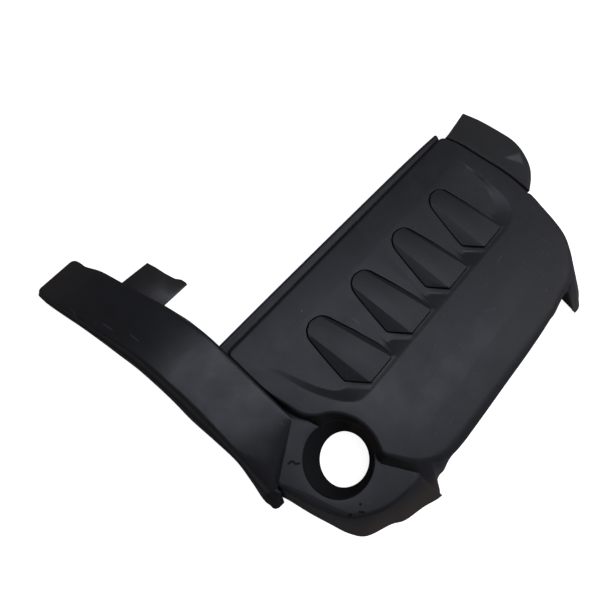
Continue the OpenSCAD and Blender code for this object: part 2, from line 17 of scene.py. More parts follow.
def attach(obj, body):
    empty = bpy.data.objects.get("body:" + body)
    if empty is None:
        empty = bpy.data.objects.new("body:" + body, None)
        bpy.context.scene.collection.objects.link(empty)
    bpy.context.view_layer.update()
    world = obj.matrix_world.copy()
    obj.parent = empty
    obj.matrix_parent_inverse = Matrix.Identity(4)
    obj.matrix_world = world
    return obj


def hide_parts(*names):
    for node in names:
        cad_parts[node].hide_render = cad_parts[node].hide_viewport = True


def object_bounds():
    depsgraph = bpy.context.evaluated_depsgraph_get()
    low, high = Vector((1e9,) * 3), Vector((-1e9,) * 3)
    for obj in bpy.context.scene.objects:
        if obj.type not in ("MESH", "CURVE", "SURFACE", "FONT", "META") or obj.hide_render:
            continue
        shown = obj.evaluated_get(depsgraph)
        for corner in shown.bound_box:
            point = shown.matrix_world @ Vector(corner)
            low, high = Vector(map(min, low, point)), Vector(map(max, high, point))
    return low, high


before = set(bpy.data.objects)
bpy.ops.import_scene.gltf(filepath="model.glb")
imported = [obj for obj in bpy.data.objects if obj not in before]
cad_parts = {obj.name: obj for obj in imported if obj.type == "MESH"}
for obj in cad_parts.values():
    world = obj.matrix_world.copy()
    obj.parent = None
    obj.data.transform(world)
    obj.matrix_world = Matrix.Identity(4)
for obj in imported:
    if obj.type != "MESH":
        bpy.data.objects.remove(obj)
cad_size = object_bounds()

MM = 0.001
WALL = 2.8             # wall of the shells
TOP = 45.0             # height of the main top face
DECK = TOP - 20.0      # height of the lower deck
FOOT = TOP - 62.0      # height of the feet
REAR = TOP - 42.0      # height of the rear skirt's edge
SHELF = TOP - 31.0     # foot of the near end wall, below the channel cover
SHORT = DECK - WALL    # foot of the wall that ends on the deck
LAND_R, LAND_H = 30.0, 6.0   # radius and height of the filler's straight land
PANELS, PITCH = 4, 76.0      # the inset panels and how far apart they repeat
PANEL_RISE = 0.6       # the panels stand this far above the top face
POCKET = TOP - 15.0    # height of the pockets' floors
PAN_DEPTH = 7.0
PAN_FRONT, PAN_BACK, BANK = 142.0, 36.0, 58.0   # y of the pan's front, its rear, the bank's foot
SHARP = math.radians(32)     # edges steeper than this stay sharp


# curves
def closed(keys, steps):
    """A closed curve through the key stations, the same way the shell's solid is laid out."""
    k = np.array(keys, float)
    nxt, prv = np.roll(k, -1, 0), np.roll(k, 1, 0)
    hop = np.linalg.norm((nxt - k)[:, :2], axis=1)
    lean = (nxt - prv) / (np.roll(hop, 1) + hop)[:, None]
    out = []
    for i in range(len(k)):
        a, b, ma, mb, s = k[i], nxt[i], lean[i], lean[(i + 1) % len(k)], hop[i]
        for j in range(steps):
            u = j / steps
            out.append((2*u**3 - 3*u*u + 1)*a + s*(u**3 - 2*u*u + u)*ma
                       + (3*u*u - 2*u**3)*b + s*(u**3 - u*u)*mb)
    return np.array(out)


def open_curve(keys, steps):
    """The same curve through an open row of stations; a station may be any array."""
    k = [np.array(q, float) for q in keys]
    hop = [np.linalg.norm((k[i+1] - k[i]).reshape(-1)) for i in range(len(k) - 1)]
    lean = []
    for i in range(len(k)):
        a, b = max(i - 1, 0), min(i + 1, len(k) - 1)
        lean.append((k[b] - k[a]) / sum(hop[a:b]))
    out = []
    for i in range(len(k) - 1):
        a, b, s = k[i], k[i+1], hop[i]
        for j in range(steps):
            u = j / steps
            out.append((2*u**3 - 3*u*u + 1)*a + s*(u**3 - 2*u*u + u)*lean[i]
                       + (3*u*u - 2*u**3)*b + s*(u**3 - u*u)*lean[i+1])
    return out + [k[-1]]


def sides(ring):
    """Outward directions of a ring that runs anticlockwise."""
    d = np.roll(ring, -1, 0)[:, :2] - np.roll(ring, 1, 0)[:, :2]
    d /= np.maximum(np.linalg.norm(d, axis=1), 1e-9)[:, None]
    return np.stack([d[:, 1], -d[:, 0]], 1)


def grown(ring, d):
    """The ring in plan, moved outwards by d."""
    r = np.array(ring, float)[:, :2]
    return r + sides(r) * d


def level(ring, z):
    """The ring at the height z, which may be one number or a row of them."""
    r = np.array(ring, float)
    return np.column_stack([r[:, 0], r[:, 1], np.full(len(r), z) if np.isscalar(z) else z])


def smooth(x):
    """0 up to x = 0 and 1 from x = 1 on, eased between."""
    x = np.clip(x, 0, 1)
    return x*x*(3 - 2*x)


# mesh building
class Skin:
    """Grows one mesh from loops: one is made, and every further one is extruded from it."""

    def __init__(self):
        self.bm = bmesh.new()

    def loop(self, ring):
        made = bmesh.ops.create_circle(self.bm, cap_ends=False, radius=1.0, segments=len(ring))
        verts = made["verts"]
        for v, p in zip(verts, ring):
            v.co = Vector(p) * MM
        return verts

    def grow(self, verts, ring, wrap=True):
        """Extrudes the loop to the next ring; returns the new loop in the same order."""
        made = bmesh.ops.extrude_edge_only(self.bm, edges=self.edges_of(verts, wrap))["geom"]
        fresh = {v for v in made if isinstance(v, bmesh.types.BMVert)}
        out = []
        for v, p in zip(verts, ring):
            w = next(e.other_vert(v) for e in v.link_edges if e.other_vert(v) in fresh)
            w.co = Vector(p) * MM
            out.append(w)
        return out

    def rings(self, verts, rings, wrap=True):
        """Extrudes the loop through all the rings; returns the last loop."""
        for r in rings:
            verts = self.grow(verts, r, wrap)
        return verts

    def edges_of(self, verts, wrap=True):
        n = len(verts)
        last = n if wrap else n - 1
        return [self.bm.edges.get((verts[i], verts[(i + 1) % n])) for i in range(last)]

    def fill(self, *loops):
        """A flat face between the loops, holes left open."""
        edges = [e for l in loops for e in self.edges_of(l)]
        bmesh.ops.triangle_fill(self.bm, use_beauty=True, use_dissolve=False, edges=edges)

    def cap(self, verts):
        """One face on the loop."""
        bmesh.ops.contextual_create(self.bm, geom=verts)

    def chain(self, points):
        """An open row of vertices."""
        made = bmesh.ops.create_vert(self.bm, co=Vector(points[0]) * MM)["vert"]
        out = [made[0]]
        for p in points[1:]:
            w = bmesh.ops.extrude_vert_indiv(self.bm, verts=[out[-1]])["verts"][0]
            w.co = Vector(p) * MM
            out.append(w)
        return out

    def done(self, name):
        bmesh.ops.recalc_face_normals(self.bm, faces=self.bm.faces[:])
        return finish_mesh(name, self.bm)


def shade(mesh):
    mesh.shade_smooth()
    mesh.set_sharp_from_angle(angle=SHARP)


def link(name, data):
    o = bpy.data.objects.new(name, data)
    bpy.context.scene.collection.objects.link(o)
    return o


def finish_mesh(name, bm):
    mesh = bpy.data.meshes.new(name)
    bm.to_mesh(mesh)
    bm.free()
    shade(mesh)
    return link(name, mesh)


def settle(o):
    """Applies the modifiers of o to its mesh."""
    graph = bpy.context.evaluated_depsgraph_get()
    mesh = bpy.data.meshes.new_from_object(o.evaluated_get(graph))
    mesh.name = o.name
    o.modifiers.clear()
    o.data = mesh
    shade(mesh)
    return o


def bevel(bm, edges, width, segments=2):
    bmesh.ops.bevel(bm, geom=edges, offset=width * MM, segments=segments, profile=0.5,
                    affect="EDGES", clamp_overlap=True, material=-1)


def thicken(o, wall=WALL):
    """Gives the skin o its wall, inwards."""
    m = o.modifiers.new("wall", "SOLIDIFY")
    m.thickness = wall * MM
    m.offset = -1.0
    m.use_even_offset = False
    m.use_quality_normals = True
    settle(o)
    # the rim stays level with the feet and inside the CAD model's box
    at = np.empty(3 * len(o.data.vertices))
    o.data.vertices.foreach_get("co", at)
    o.data.vertices.foreach_set("co", np.clip(at.reshape(-1, 3), *cad_size).ravel())
    return o


def cut(o, *tools):
    """Cuts the tools out of o and removes them."""
    for t in tools:
        m = o.modifiers.new("cut", "BOOLEAN")
        m.operation = "DIFFERENCE"
        m.solver = "EXACT"
        m.object = t
    settle(o)
    for t in tools:
        bpy.data.objects.remove(t)
    return o


def prism(name, ring, z0, z1, edge=0.0):
    """An upright block of that outline, with its edges above and below bevelled by edge."""
    s = Skin()
    v = s.loop(level(ring, z0))
    s.cap(v)
    w = s.grow(v, level(ring, z1))
    s.cap(w)
    if edge:
        bevel(s.bm, s.edges_of(w) + s.edges_of(v), edge)
    return s.done(name)


def lathe(name, centre, profile, steps=64):
    """Turns a closed outline of (radius, height) about an upright axis."""
    x, y = centre
    bm = bmesh.new()
    made = bmesh.ops.create_circle(bm, radius=1.0, segments=len(profile))["verts"]
    for v, (r, z) in zip(made, profile):
        v.co = Vector((x + r, y, z)) * MM
    bmesh.ops.spin(bm, geom=bm.verts[:] + bm.edges[:], cent=Vector((x, y, 0)) * MM,
                   axis=(0, 0, 1), dvec=(0, 0, 0), angle=2*math.pi, steps=steps, use_merge=True,
                   use_duplicate=False)
    bmesh.ops.remove_doubles(bm, verts=bm.verts[:], dist=1e-6)
    bmesh.ops.recalc_face_normals(bm, faces=bm.faces[:])
    return finish_mesh(name, bm)


def block(name, lo, hi):
    """A box between two corners, with lightly broken edges."""
    bm = bmesh.new()
    bmesh.ops.create_cube(bm, size=1.0)
    lo, hi = np.array(lo, float), np.array(hi, float)
    for v in bm.verts:
        v.co = Vector(((np.array(v.co) + 0.5) * (hi - lo) + lo) * MM)
    bevel(bm, bm.edges[:], 0.4)
    return finish_mesh(name, bm)


# main shell
REAR_Y, FRONT_Y = -64.0, 172.0       # y of the top face's rear and front edges
ROLL = 20.0                          # radius of the rolled rear edge
REAR_FOOT = REAR_Y - ROLL - 8
SMALL = WALL + 0.6                   # radius of the tight edges
CLOSE = 1.4                          # radius of the edge that the channel cover stands against
GAP_Z = TOP - 6                      # foot of the walls beside the gutter and the extension
BITE, BITE_R = np.array([-24.5, 16.0]), 55.0 + SMALL   # round bite of the top around the filler
BITE_TURNS = (60, 47, 32, 17, 2, -13, -26)             # where its stations lie, in degrees
RIM, RIM_R = np.array([-9.5, 12.0]), LAND_R + 10.0     # the funnel's round rim on the deck


def bite_station(degrees):
    """A station of the bite, whose wall leans in to the funnel's rim."""
    way = np.array([math.cos(math.radians(degrees)), math.sin(math.radians(degrees))])
    edge, wall = BITE + way * BITE_R, BITE + way * (BITE_R - SMALL)
    reach = np.linalg.norm(wall - RIM)
    low = RIM + (wall - RIM) / reach * min(reach, RIM_R)
    return [*edge, SMALL, *low, DECK - 0.3]


# stations of the top's outline, anticlockwise: x, y and radius of the rolled edge, and the wall's
# foot below as x, y, z
MAIN_KEYS = [
    [62, -58, 10, 64, -107, FOOT],
    [72, -62, 16, 76, -104, FOOT + 6],
    [92, REAR_Y, ROLL, 94, REAR_FOOT - 4, REAR - 6],
    [125, REAR_Y - 1, ROLL, 125, REAR_FOOT, REAR],
    [184, REAR_Y - 1, ROLL, 184, REAR_FOOT, REAR],
    [250, REAR_Y - 1, ROLL, 250, REAR_FOOT, REAR],
    [300, REAR_Y + 1, ROLL, 302, REAR_FOOT, REAR],
    [328, REAR_Y + 5, ROLL, 332, REAR_FOOT - 4, REAR],
    [344, REAR_Y + 7.5, ROLL + 4, 347, REAR_FOOT + 10, REAR + 20],
    [354, REAR_Y + 11.5, ROLL + 10, 361, REAR_FOOT + 8, REAR + 18],
    [360, REAR_Y + 15, ROLL + 13, 375.5, REAR_FOOT - 36, FOOT],
    [368, REAR_Y + 21, ROLL + 17, 397, REAR_FOOT - 29, FOOT],
    [379, REAR_Y + 31, ROLL + 14, 408, REAR_FOOT - 9, FOOT + 8],
    [389, -21, ROLL + 8, 415, -61, REAR],
    [395, -4, ROLL + 1, 414, -12, REAR],
    [400, 20, 13, 414, 16, REAR + 6],
    [404, 40, 6, 411, 38, REAR + 16],
    [403, 46, SMALL, 406, 46, GAP_Z - 8],
    [401.5, 68, SMALL, 404.5, 68.5, GAP_Z],
    [396.5, 92, SMALL, 399.5, 92.8, GAP_Z],
    [387.5, 122, SMALL, 390.5, 122.8, GAP_Z],
    [378.5, 151, SMALL, 381.3, 152.2, GAP_Z],
    [371, 167, SMALL, 373.6, 168.4, GAP_Z],
    [368.6, 170.4, SMALL, 370.4, 172.6, GAP_Z],
    [365, FRONT_Y, SMALL, 365.5, FRONT_Y + 3, GAP_Z],
    [340, FRONT_Y, SMALL, 340, FRONT_Y + 3, GAP_Z],
    [175, FRONT_Y, SMALL, 175, FRONT_Y + 3, GAP_Z],
    [10, FRONT_Y, SMALL, 10, FRONT_Y + 3, GAP_Z],
    [-12.6, FRONT_Y, SMALL, -13, FRONT_Y + 3, GAP_Z],
    [-15.3, 171, CLOSE, -16.6, 173, GAP_Z - 4],
    [-15.5, 162, CLOSE, -16.9, 162, SHELF],
    [-15.5, 144, CLOSE, -16.9, 144, SHELF],
    [-14.4, 119, CLOSE, -16.4, 117, SHELF],
    [-9, 95, SMALL, -12.3, 94, SHELF],
    [-4.5, 78, SMALL, -7.7, 77, SHELF],
] + [bite_station(a) for a in BITE_TURNS] + [
    [26.5, -14, SMALL, 18, -24, SHORT],
    [32, -24, 5, 22, -35, SHORT],
    [40, -37, 7, 29.5, -48, SHORT],
    [49, -48.5, 8, 37, -62, SHORT],
    [54, -52.5, 9, 43, -90, FOOT + 22],
    [58, -55.5, 9, 52, -119, FOOT],
]

# outline of the sunken pan in the top face, and of its floor
PAN_TOP = [
    [0, PAN_FRONT], [5, 120], [11, 97], [19, 76], [30, 56], [41, 43], [51, 37.4], [72, PAN_BACK],
    [130, PAN_BACK], [260, PAN_BACK], [338, 35.2], [354, 36.6], [366, 42.6], [372, 53], [373.6, 68],
    [372, 88], [370, 104], [366.5, 123], [361, PAN_FRONT], [260, PAN_FRONT], [130, PAN_FRONT]]
PAN_LOW = [
    [4, 140], [11, 122], [19, 101], [26, 84], [35, 69], [44, 62], [54, 59], [74, BANK], [130, BANK],
    [260, BANK], [331, BANK], [341, 59], [350, 63.6], [357, 71], [361.5, 80], [365, 94], [366, 106],
    [363.5, 124], [358, 140], [260, 140], [130, 140]]
# the bank between them: share of the way in, and share of the way down
BANK_STEPS = ((.05, .012), (.11, .055), (.19, .14), (.32, .29), (.5, .5), (.68, .71), (.81, .86),
              (.89, .945), (.95, .988), (1, 1))
# outline of the first inset panel, and the turn from which one of its corners stays sharp
PANEL_KEYS = [
    [69.6, 44.6], [106.6, 44.8], [109, 51], [110, 57.4], [109.2, 63.4], [103.6, 80.6], [98.4, 96.8],
    [90.2, 118.8], [87.6, 125.4], [83.4, 130.8], [76, 134.4], [67.6, 135.2], [60.4, 132],
    [56.2, 125.2], [54, 103], [52.6, 77.4], [52.2, 65.6]]
CORNER_TURN = 34


def pan_z(y):
    """The pan's floor, which leaves the top face gently at the front."""
    u = np.maximum((PAN_FRONT - np.asarray(y, float)) / (PAN_FRONT - BANK), 0)
    ease = 0.1
    return TOP - PAN_DEPTH * (u - ease * (1 - np.exp(-u / ease))) / (1 - ease)


def rolled_rings(s, z, steps=10, wall=4):
    """Rings over the rolled edge of a face at height z, which stops where the straight wall to the
    foot touches it, then down the wall."""
    n = sides(s)
    low = np.column_stack([s[:, 3], s[:, 4], np.maximum(s[:, 5], FOOT)])
    r = np.maximum(s[:, 2], CLOSE)
    out = (low[:, 0] - s[:, 0]) * n[:, 0] + (low[:, 1] - s[:, 1]) * n[:, 1]
    drop = low[:, 2] - z + r
    reach = np.hypot(out, drop)
    leave = np.pi/2 - np.arctan2(drop, out) - np.arccos(np.minimum(1, r / reach))
    leave = np.clip(leave, math.radians(30), math.pi/2)
    rings = []
    for k in range(steps + 1):
        a = leave * k / steps
        rings.append(np.column_stack([s[:, 0] + n[:, 0]*r*np.sin(a),
                                      s[:, 1] + n[:, 1]*r*np.sin(a), z - r + r*np.cos(a)]))
    end = rings[-1]
    for k in range(1, wall + 1):
        rings.append(end + (low - end) * k / wall)
    return rings


def sharpened(keys):
    """Doubles up the stations beside each corner so that the curve turns tightly there."""
    keys = np.array(keys, float)
    out, n = [], len(keys)
    for i in range(n):
        a, b, c = keys[i-1], keys[i], keys[(i+1) % n]
        u, v = (a - b) / np.linalg.norm(a - b), (c - b) / np.linalg.norm(c - b)
        if math.degrees(math.acos(np.clip(-(u @ v), -1, 1))) > CORNER_TURN:
            out += [b + u*2.2, b + (u + v)*0.42, b + v*2.2]
        else:
            out.append(b)
    return np.array(out)


def panel_ring(d, steps, k):
    """The outline of panel k, grown by d."""
    r = grown(closed(sharpened(PANEL_KEYS), steps), d)
    r[:, 0] += PITCH * k
    return r


# the collar around each panel lies this far below the panel's edge. Outwards from the panel, it
# begins to fall to the pan at the first distance and would reach it at the second
COLLAR_DROP, COLLAR_IN, COLLAR_OUT = 1.9, 6.0, 9.0
# the shell's hole around each panel, and where the collar ends, tucked under the shell
COLLAR_CUT, COLLAR_END = 8.4, 9.5
LEDGE_DROP, LEDGE_OUT = 1.0, 2.8     # the small ledge below a panel's flat end
LEDGE_X, LEDGE_Y = (51.0, 74.0), 70  # its reach along the first panel's rim, and its front limit
LINE = 1.15                          # the open line around a panel
POCKET_WALL = 1.6


def build_shell():
    """The main cover's shell, and its outer face as a tree to measure heights on."""
    s = Skin()
    rings = rolled_rings(closed(MAIN_KEYS, 5), TOP)
    top = s.loop(rings[0])
    s.rings(top, rings[1:])
    pan_low = closed(PAN_LOW, 10)
    high, low = level(closed(PAN_TOP, 10), TOP), level(pan_low, pan_z(pan_low[:, 1]))
    verts = s.loop(high)
    s.fill(top, verts)
    for inwards, down in BANK_STEPS:
        ring = high + (low - high) * inwards
        ring[:, 2] = high[:, 2] + (low[:, 2] - high[:, 2]) * down
        verts = s.grow(verts, ring)
    s.fill(verts)
    face = BVHTree.FromBMesh(s.bm)
    o = thicken(s.done("cover_shell"))
    return cut(o, *(prism("pocket_cut", panel_ring(COLLAR_CUT, 4, k), POCKET - 10, TOP + 5)
                    for k in range(PANELS))), face


# each panel's two facets, as three points of their planes: the ridge's two ends, and a point out
# on the panel's edge
RIDGE_Z = TOP + PANEL_RISE
BROAD_FACET = ((58.4, 127, RIDGE_Z), (68.6, 46.5, RIDGE_Z), (52.2, 65.6, TOP - 5.8))
NARROW_FACET = ((83, 128, RIDGE_Z), (105.6, 50, RIDGE_Z), (109.2, 63.4, TOP - 4.6))


def facet_z(at, p, q, t):
    """Height at the plan points of the plane through three points."""
    p, q, t = np.array(p), np.array(q), np.array(t)
    n = np.cross(q - p, t - p)
    return p[2] - ((at[:, 0] - p[0]) * n[0] + (at[:, 1] - p[1]) * n[1]) / n[2]


def height_on(face, x, y):
    """Height of the face below a point well above it."""
    return face.ray_cast(Vector((x, y, 4*TOP)) * MM, Vector((0, 0, -1)))[0].z / MM


def build_pocket(k, face):
    """The pan around one panel: the raised collar at its flat end, the eased edge of the open
    line, and the pocket's wall and floor below."""
    s = Skin()
    # how far out from the panel each ring lies, and how far the line's edge rolls down there
    reach = [COLLAR_END, 9.0, COLLAR_CUT, 7.9, 7.4, 6.9, 6.4, COLLAR_IN, 5.0, 4.2,
             LEDGE_OUT + 0.7, LEDGE_OUT + 0.35, LEDGE_OUT, LEDGE_OUT - 0.25,
             LINE + 0.7, LINE + 0.35, LINE + 0.12, LINE]
    eased = {LINE + 0.35: 0.05, LINE + 0.12: 0.22, LINE: 0.6}
    # the collar follows the panel's edge, and the ledge has its place along the panel's flat end
    rim = panel_ring(0, 5, 0)
    edge = np.minimum.reduce([np.full(len(rim), RIDGE_Z), facet_z(rim, *BROAD_FACET),
                              facet_z(rim, *NARROW_FACET)])
    flat_end = (smooth((LEDGE_X[1] - rim[:, 0]) / 4.0) * smooth((rim[:, 0] - LEDGE_X[0]) / 3.0)
                * (rim[:, 1] < LEDGE_Y))
    verts = None
    for d in reach:
        ring = panel_ring(d, 5, k)
        base = np.array([height_on(face, x, y) for x, y in ring])
        fall = smooth((d - COLLAR_IN) / (COLLAR_OUT - COLLAR_IN))
        rise = edge - COLLAR_DROP - base
        rise = 0.5 * (rise + np.sqrt(rise * rise + 0.25)) * smooth((rise + 1.2) / 1.2)
        z = base + rise * (1 - fall)
        ledge = smooth((LEDGE_OUT + 0.3 - d) / 0.3)
        z = z - LEDGE_DROP * ledge * flat_end * smooth(rise / 1.5)
        tuck = smooth((d - COLLAR_CUT) / (COLLAR_END - COLLAR_CUT))
        z = z + 0.02 - 0.06 * tuck - eased.get(d, 0.0)
        ring = level(ring, z)
        verts = s.loop(ring) if verts is None else s.grow(verts, ring)
    verts = s.rings(verts, [level(panel_ring(LINE, 5, k), POCKET + 0.8),
                            level(panel_ring(LINE - 0.25, 5, k), POCKET + 0.2),
                            level(panel_ring(LINE - 0.8, 5, k), POCKET)])
    s.fill(verts)
    return thicken(s.done(f"panel_pocket_{k + 1}"), POCKET_WALL)


# stations of the lower deck's outline, laid out as the main shell's are. Where the shell or the
# channel cover is above the deck, its edge ends a little way down
UNDER = DECK - 6
DECK_KEYS = [
    [-67, 39, 6, -76, 30, FOOT], [-63, 22, 6, -72, 14, FOOT], [-56, -2, 6, -66, -14, FOOT],
    [-50, -18, 6, -60, -36, FOOT], [-42, -34, 6, -53, -60, FOOT], [-26, -48, 6, -41, -79, FOOT],
    [-4, -59, 6, -12, -94, FOOT], [8, -62.5, 6, 2, -104, FOOT], [24, -66, 6, 29, -113, FOOT],
    [36, -67.5, 6, 51, -122, FOOT], [41, -64, 4, 54, -117, FOOT], [40, -55, 4, 44, -55, UNDER],
    [34, -43, 4, 38, -41, UNDER], [27, -28, 4, 31, -26, UNDER], [31, -12, 4, 35, -12, UNDER],
    [33, 8, 4, 37, 8, UNDER], [32, 28, 4, 36, 29, UNDER], [25, 44, 4, 28, 47, UNDER],
    [12, 56, 4, 14, 60, UNDER], [-3, 63, 4, -2, 67, UNDER], [-9, 72, 4, -5, 74, UNDER],
    [-12, 84, 4, -8, 86, UNDER], [-16, 96, 4, -14, 100, UNDER], [-40, 99, 4, -40, 103, UNDER],
    [-60, 96, 4, -63, 100, UNDER], [-70, 80, 4, -74, 80, UNDER], [-70, 58, 4, -75, 56, UNDER]]

FUNNEL_SIDES = 120
FUNNEL_EDGE, FUNNEL_ROUND = 0.15, 1.5     # edge radius at the bite, and what it gains elsewhere
LAND_EDGE = 0.3                           # small chamfer where the funnel meets the land


def build_deck():
    """The lower deck with its apron, the oblique funnel and the filler's straight land."""
    s = Skin()
    rings = rolled_rings(closed(DECK_KEYS, 6), DECK, 6)
    top = s.loop(rings[0])
    s.rings(top, rings[1:])
    turn = np.linspace(0, 2*math.pi, FUNNEL_SIDES, endpoint=False)

    def funnel_ring(lean, radius, z):
        """A round ring, whose centre leans from the land's (0) to the rim's (1)."""
        x, y = RIM * lean
        return np.column_stack([x + radius*np.cos(turn), y + radius*np.sin(turn),
                                z * np.ones(FUNNEL_SIDES)])

    # the rim is sharp below the bite, whose middle lies 17 degrees round
    bite_way = math.radians(17)
    apart = np.degrees(np.arctan2(np.sin(turn - bite_way), np.cos(turn - bite_way)))
    edge_r = FUNNEL_EDGE + FUNNEL_ROUND * smooth((np.abs(apart) - 56) / 16)
    v = s.loop(funnel_ring(1, RIM_R + edge_r, DECK))
    s.fill(top, v)
    for a in (22, 45, 67, 84):
        t = math.radians(a)
        v = s.grow(v, funnel_ring(1, RIM_R + edge_r*(1 - math.sin(t)),
                                  DECK - edge_r*(1 - math.cos(t))))
    land_z, rim_z = LAND_H/2, DECK - FUNNEL_EDGE - FUNNEL_ROUND
    for k in range(1, 9):
        f = 1 - k/8
        v = s.grow(v, funnel_ring(f, LAND_R + LAND_EDGE + (RIM_R - LAND_R)*f,
                                  land_z + (rim_z - land_z)*f))
    s.rings(v, [funnel_ring(0, LAND_R, land_z - LAND_EDGE), funnel_ring(0, LAND_R, -LAND_H/2)])
    return thicken(s.done("lower_deck"))


# the front lip's outer edge: x, y
LIP_KEYS = [(-16.9, 186.2), (46, 186.4), (109, 186.3), (194, 186.0), (288, 185.4), (330, 184.6),
            (352, 183.9), (366.5, 183.2)]
LIP_TOP, GUTTER = TOP - 3, TOP - 5.6
LIP_ROLL, LIP_FALL = 2.6, 3.0        # the lip's rounded outer edge: how far out and how far down
LIP_WALL, LIP_END = 2.4, 2           # its wall, and how thick its closed ends are


def lip_roll(y, degrees):
    """A point of the lip's rounded edge, as y and z: 0 degrees is on its top and 90 outside."""
    a = math.radians(degrees)
    return (y - LIP_ROLL + LIP_ROLL*math.sin(a), LIP_TOP - LIP_FALL*(1 - math.cos(a)))


def build_lip():
    """The gutter below the front edge and the rounded lip that stands along it."""
    def section(x, y):
        bead = y - 4.6
        pts = [(FRONT_Y + 0.9, TOP - 4.4), (FRONT_Y + 2.0, GUTTER + 0.3), (FRONT_Y + 3.0, GUTTER),
               (FRONT_Y + 3.8, GUTTER + 0.1), (bead - 0.9, LIP_TOP - 0.9)]
        for a in (math.radians(30 * k) for k in range(4)):
            pts.append((bead + 1.5*(1 - math.cos(a)), LIP_TOP - 0.6 + 0.6*math.sin(a)))
        pts += [lip_roll(y, 90 * k / 8) for k in range(1, 9)]
        pts += [(y, LIP_TOP - 9), (y, TOP - 20)]
        return [(x, *p) for p in pts]

    s = Skin()
    keys = open_curve(LIP_KEYS, 8)
    s.rings(s.chain(section(*keys[0])), [section(*k) for k in keys[1:]], wrap=False)
    return thicken(s.done("front_lip"), LIP_WALL)


def lip_end(name, x, y):
    """Closes the open end of the lip."""
    pts = [(y - 7.1, TOP - 20), (y, TOP - 20), (y, LIP_TOP - LIP_FALL)]
    pts += [lip_roll(y, 90 * (1 - k/6)) for k in range(1, 7)]
    pts += [(y - 3.4, LIP_TOP), (y - 4.6, LIP_TOP - 0.6), (y - 7.1, LIP_TOP - 1.6)]
    s = Skin()
    v = s.loop([(x, *p) for p in pts])
    s.cap(v)
    s.cap(s.grow(v, [(x + LIP_END, *p) for p in pts]))
    return s.done(name)


# inset panels
PANEL_EDGE, PANEL_WALL = 0.7, 2.2    # radius of a panel's edges, and its wall


def slice_off(bm, *points):
    """Cuts off what lies above the plane through three points, and closes the cut."""
    p, q, t = (Vector(point) for point in points)
    normal = (q - p).cross(t - p).normalized()
    if normal.z < 0:
        normal.negate()
    made = bmesh.ops.bisect_plane(bm, geom=bm.verts[:] + bm.edges[:] + bm.faces[:],
                                  plane_co=p * MM, plane_no=normal, clear_outer=True)["geom_cut"]
    bmesh.ops.holes_fill(bm, edges=[e for e in made if isinstance(e, bmesh.types.BMEdge)], sides=0)


def build_panel(k):
    """A panel with its broad and its narrow facet, and rounded edges round each face."""
    s = Skin()
    outline = panel_ring(0, 3, k)
    s.cap(s.grow(s.loop(level(outline, TOP - 9)), level(outline, RIDGE_Z)))
    for facet in (BROAD_FACET, NARROW_FACET):
        slice_off(s.bm, *((x + PITCH*k, y, z) for x, y, z in facet))
    bmesh.ops.recalc_face_normals(s.bm, faces=s.bm.faces[:])
    s.bm.normal_update()
    rim = [e for e in s.bm.edges
           if len(e.link_faces) == 2 and e.calc_face_angle(0) > math.radians(6)
           and any(f.normal.z > 0.3 for f in e.link_faces)]
    bevel(s.bm, rim, PANEL_EDGE, 3)
    return thicken(s.done(f"inset_panel_skin_{k + 1}"), PANEL_WALL)


# channel cover
ARM_TOP = TOP + 4
# stations of the hood from its toe, at low y, to its tip: the outer wall's foot, the outer edge,
# the inner edge and the inner wall's foot
ARM_KEYS = [
    [[-88, 20.5, FOOT], [-79, 40, TOP - 21], [-17.5, 83, ARM_TOP], [-16.5, 88, TOP - 26]],
    [[-90.2, 34, FOOT], [-81, 50, TOP - 9], [-17.4, 87, ARM_TOP], [-16.9, 92, TOP - 26]],
    [[-86, 56, FOOT], [-82.5, 66, TOP - 1], [-17.3, 93, ARM_TOP], [-17.3, 97, TOP - 26]],
    [[-81.5, 84, FOOT], [-81.5, 93, ARM_TOP - 1], [-17.3, 106, ARM_TOP], [-17.3, 108, TOP - 26]],
    [[-82, 117, FOOT], [-80, 123, ARM_TOP], [-17.3, 126, ARM_TOP], [-17.3, 126, TOP - 26]],
    [[-83.5, 151, FOOT], [-79, 151, ARM_TOP], [-17.3, 150, ARM_TOP], [-17.3, 150, TOP - 26]],
    [[-82.8, 178, FOOT], [-79, 178, ARM_TOP], [-17.3, 178, ARM_TOP], [-17.3, 178, TOP - 26]],
    [[-83.2, 204, FOOT], [-80, 204, ARM_TOP], [-18, 202, ARM_TOP], [-13.4, 202, TOP - 28]],
    [[-84.5, 230, FOOT], [-81, 230, ARM_TOP - 2], [-22, 228, ARM_TOP - 2], [-14, 228, TOP - 34]],
    [[-87.5, 255, FOOT], [-84, 255, TOP - 3], [-26, 254, TOP - 3], [-19, 254, TOP - 41]],
    [[-90.5, 279, FOOT], [-88, 278, TOP - 11], [-32, 280, TOP - 11], [-27, 280, TOP - 46]],
    [[-94, 303, FOOT], [-92, 303, TOP - 20], [-37, 304, TOP - 20], [-33, 304, TOP - 50]],
    [[-98.5, 328, FOOT], [-96, 328, TOP - 31], [-42, 329, TOP - 31], [-39, 329, TOP - 56]],
    [[-101, 344, FOOT], [-99.3, 346, TOP - 41], [-48.5, 346, TOP - 41], [-46, 346, FOOT]],
    [[-101, 352, FOOT], [-99.6, 353.6, TOP - 45.4], [-49.6, 355.4, TOP - 45.4],
     [-47.4, 355.4, FOOT]],
    [[-100.4, 355.8, FOOT], [-99.2, 357.6, TOP - 47.8], [-50.8, 359.4, TOP - 47.8],
     [-49.2, 359.4, FOOT]],
    [[-98.9, 357.2, FOOT], [-97.9, 359.2, TOP - 48.9], [-52.6, 360.9, TOP - 48.9],
     [-52, 360.9, FOOT]]]


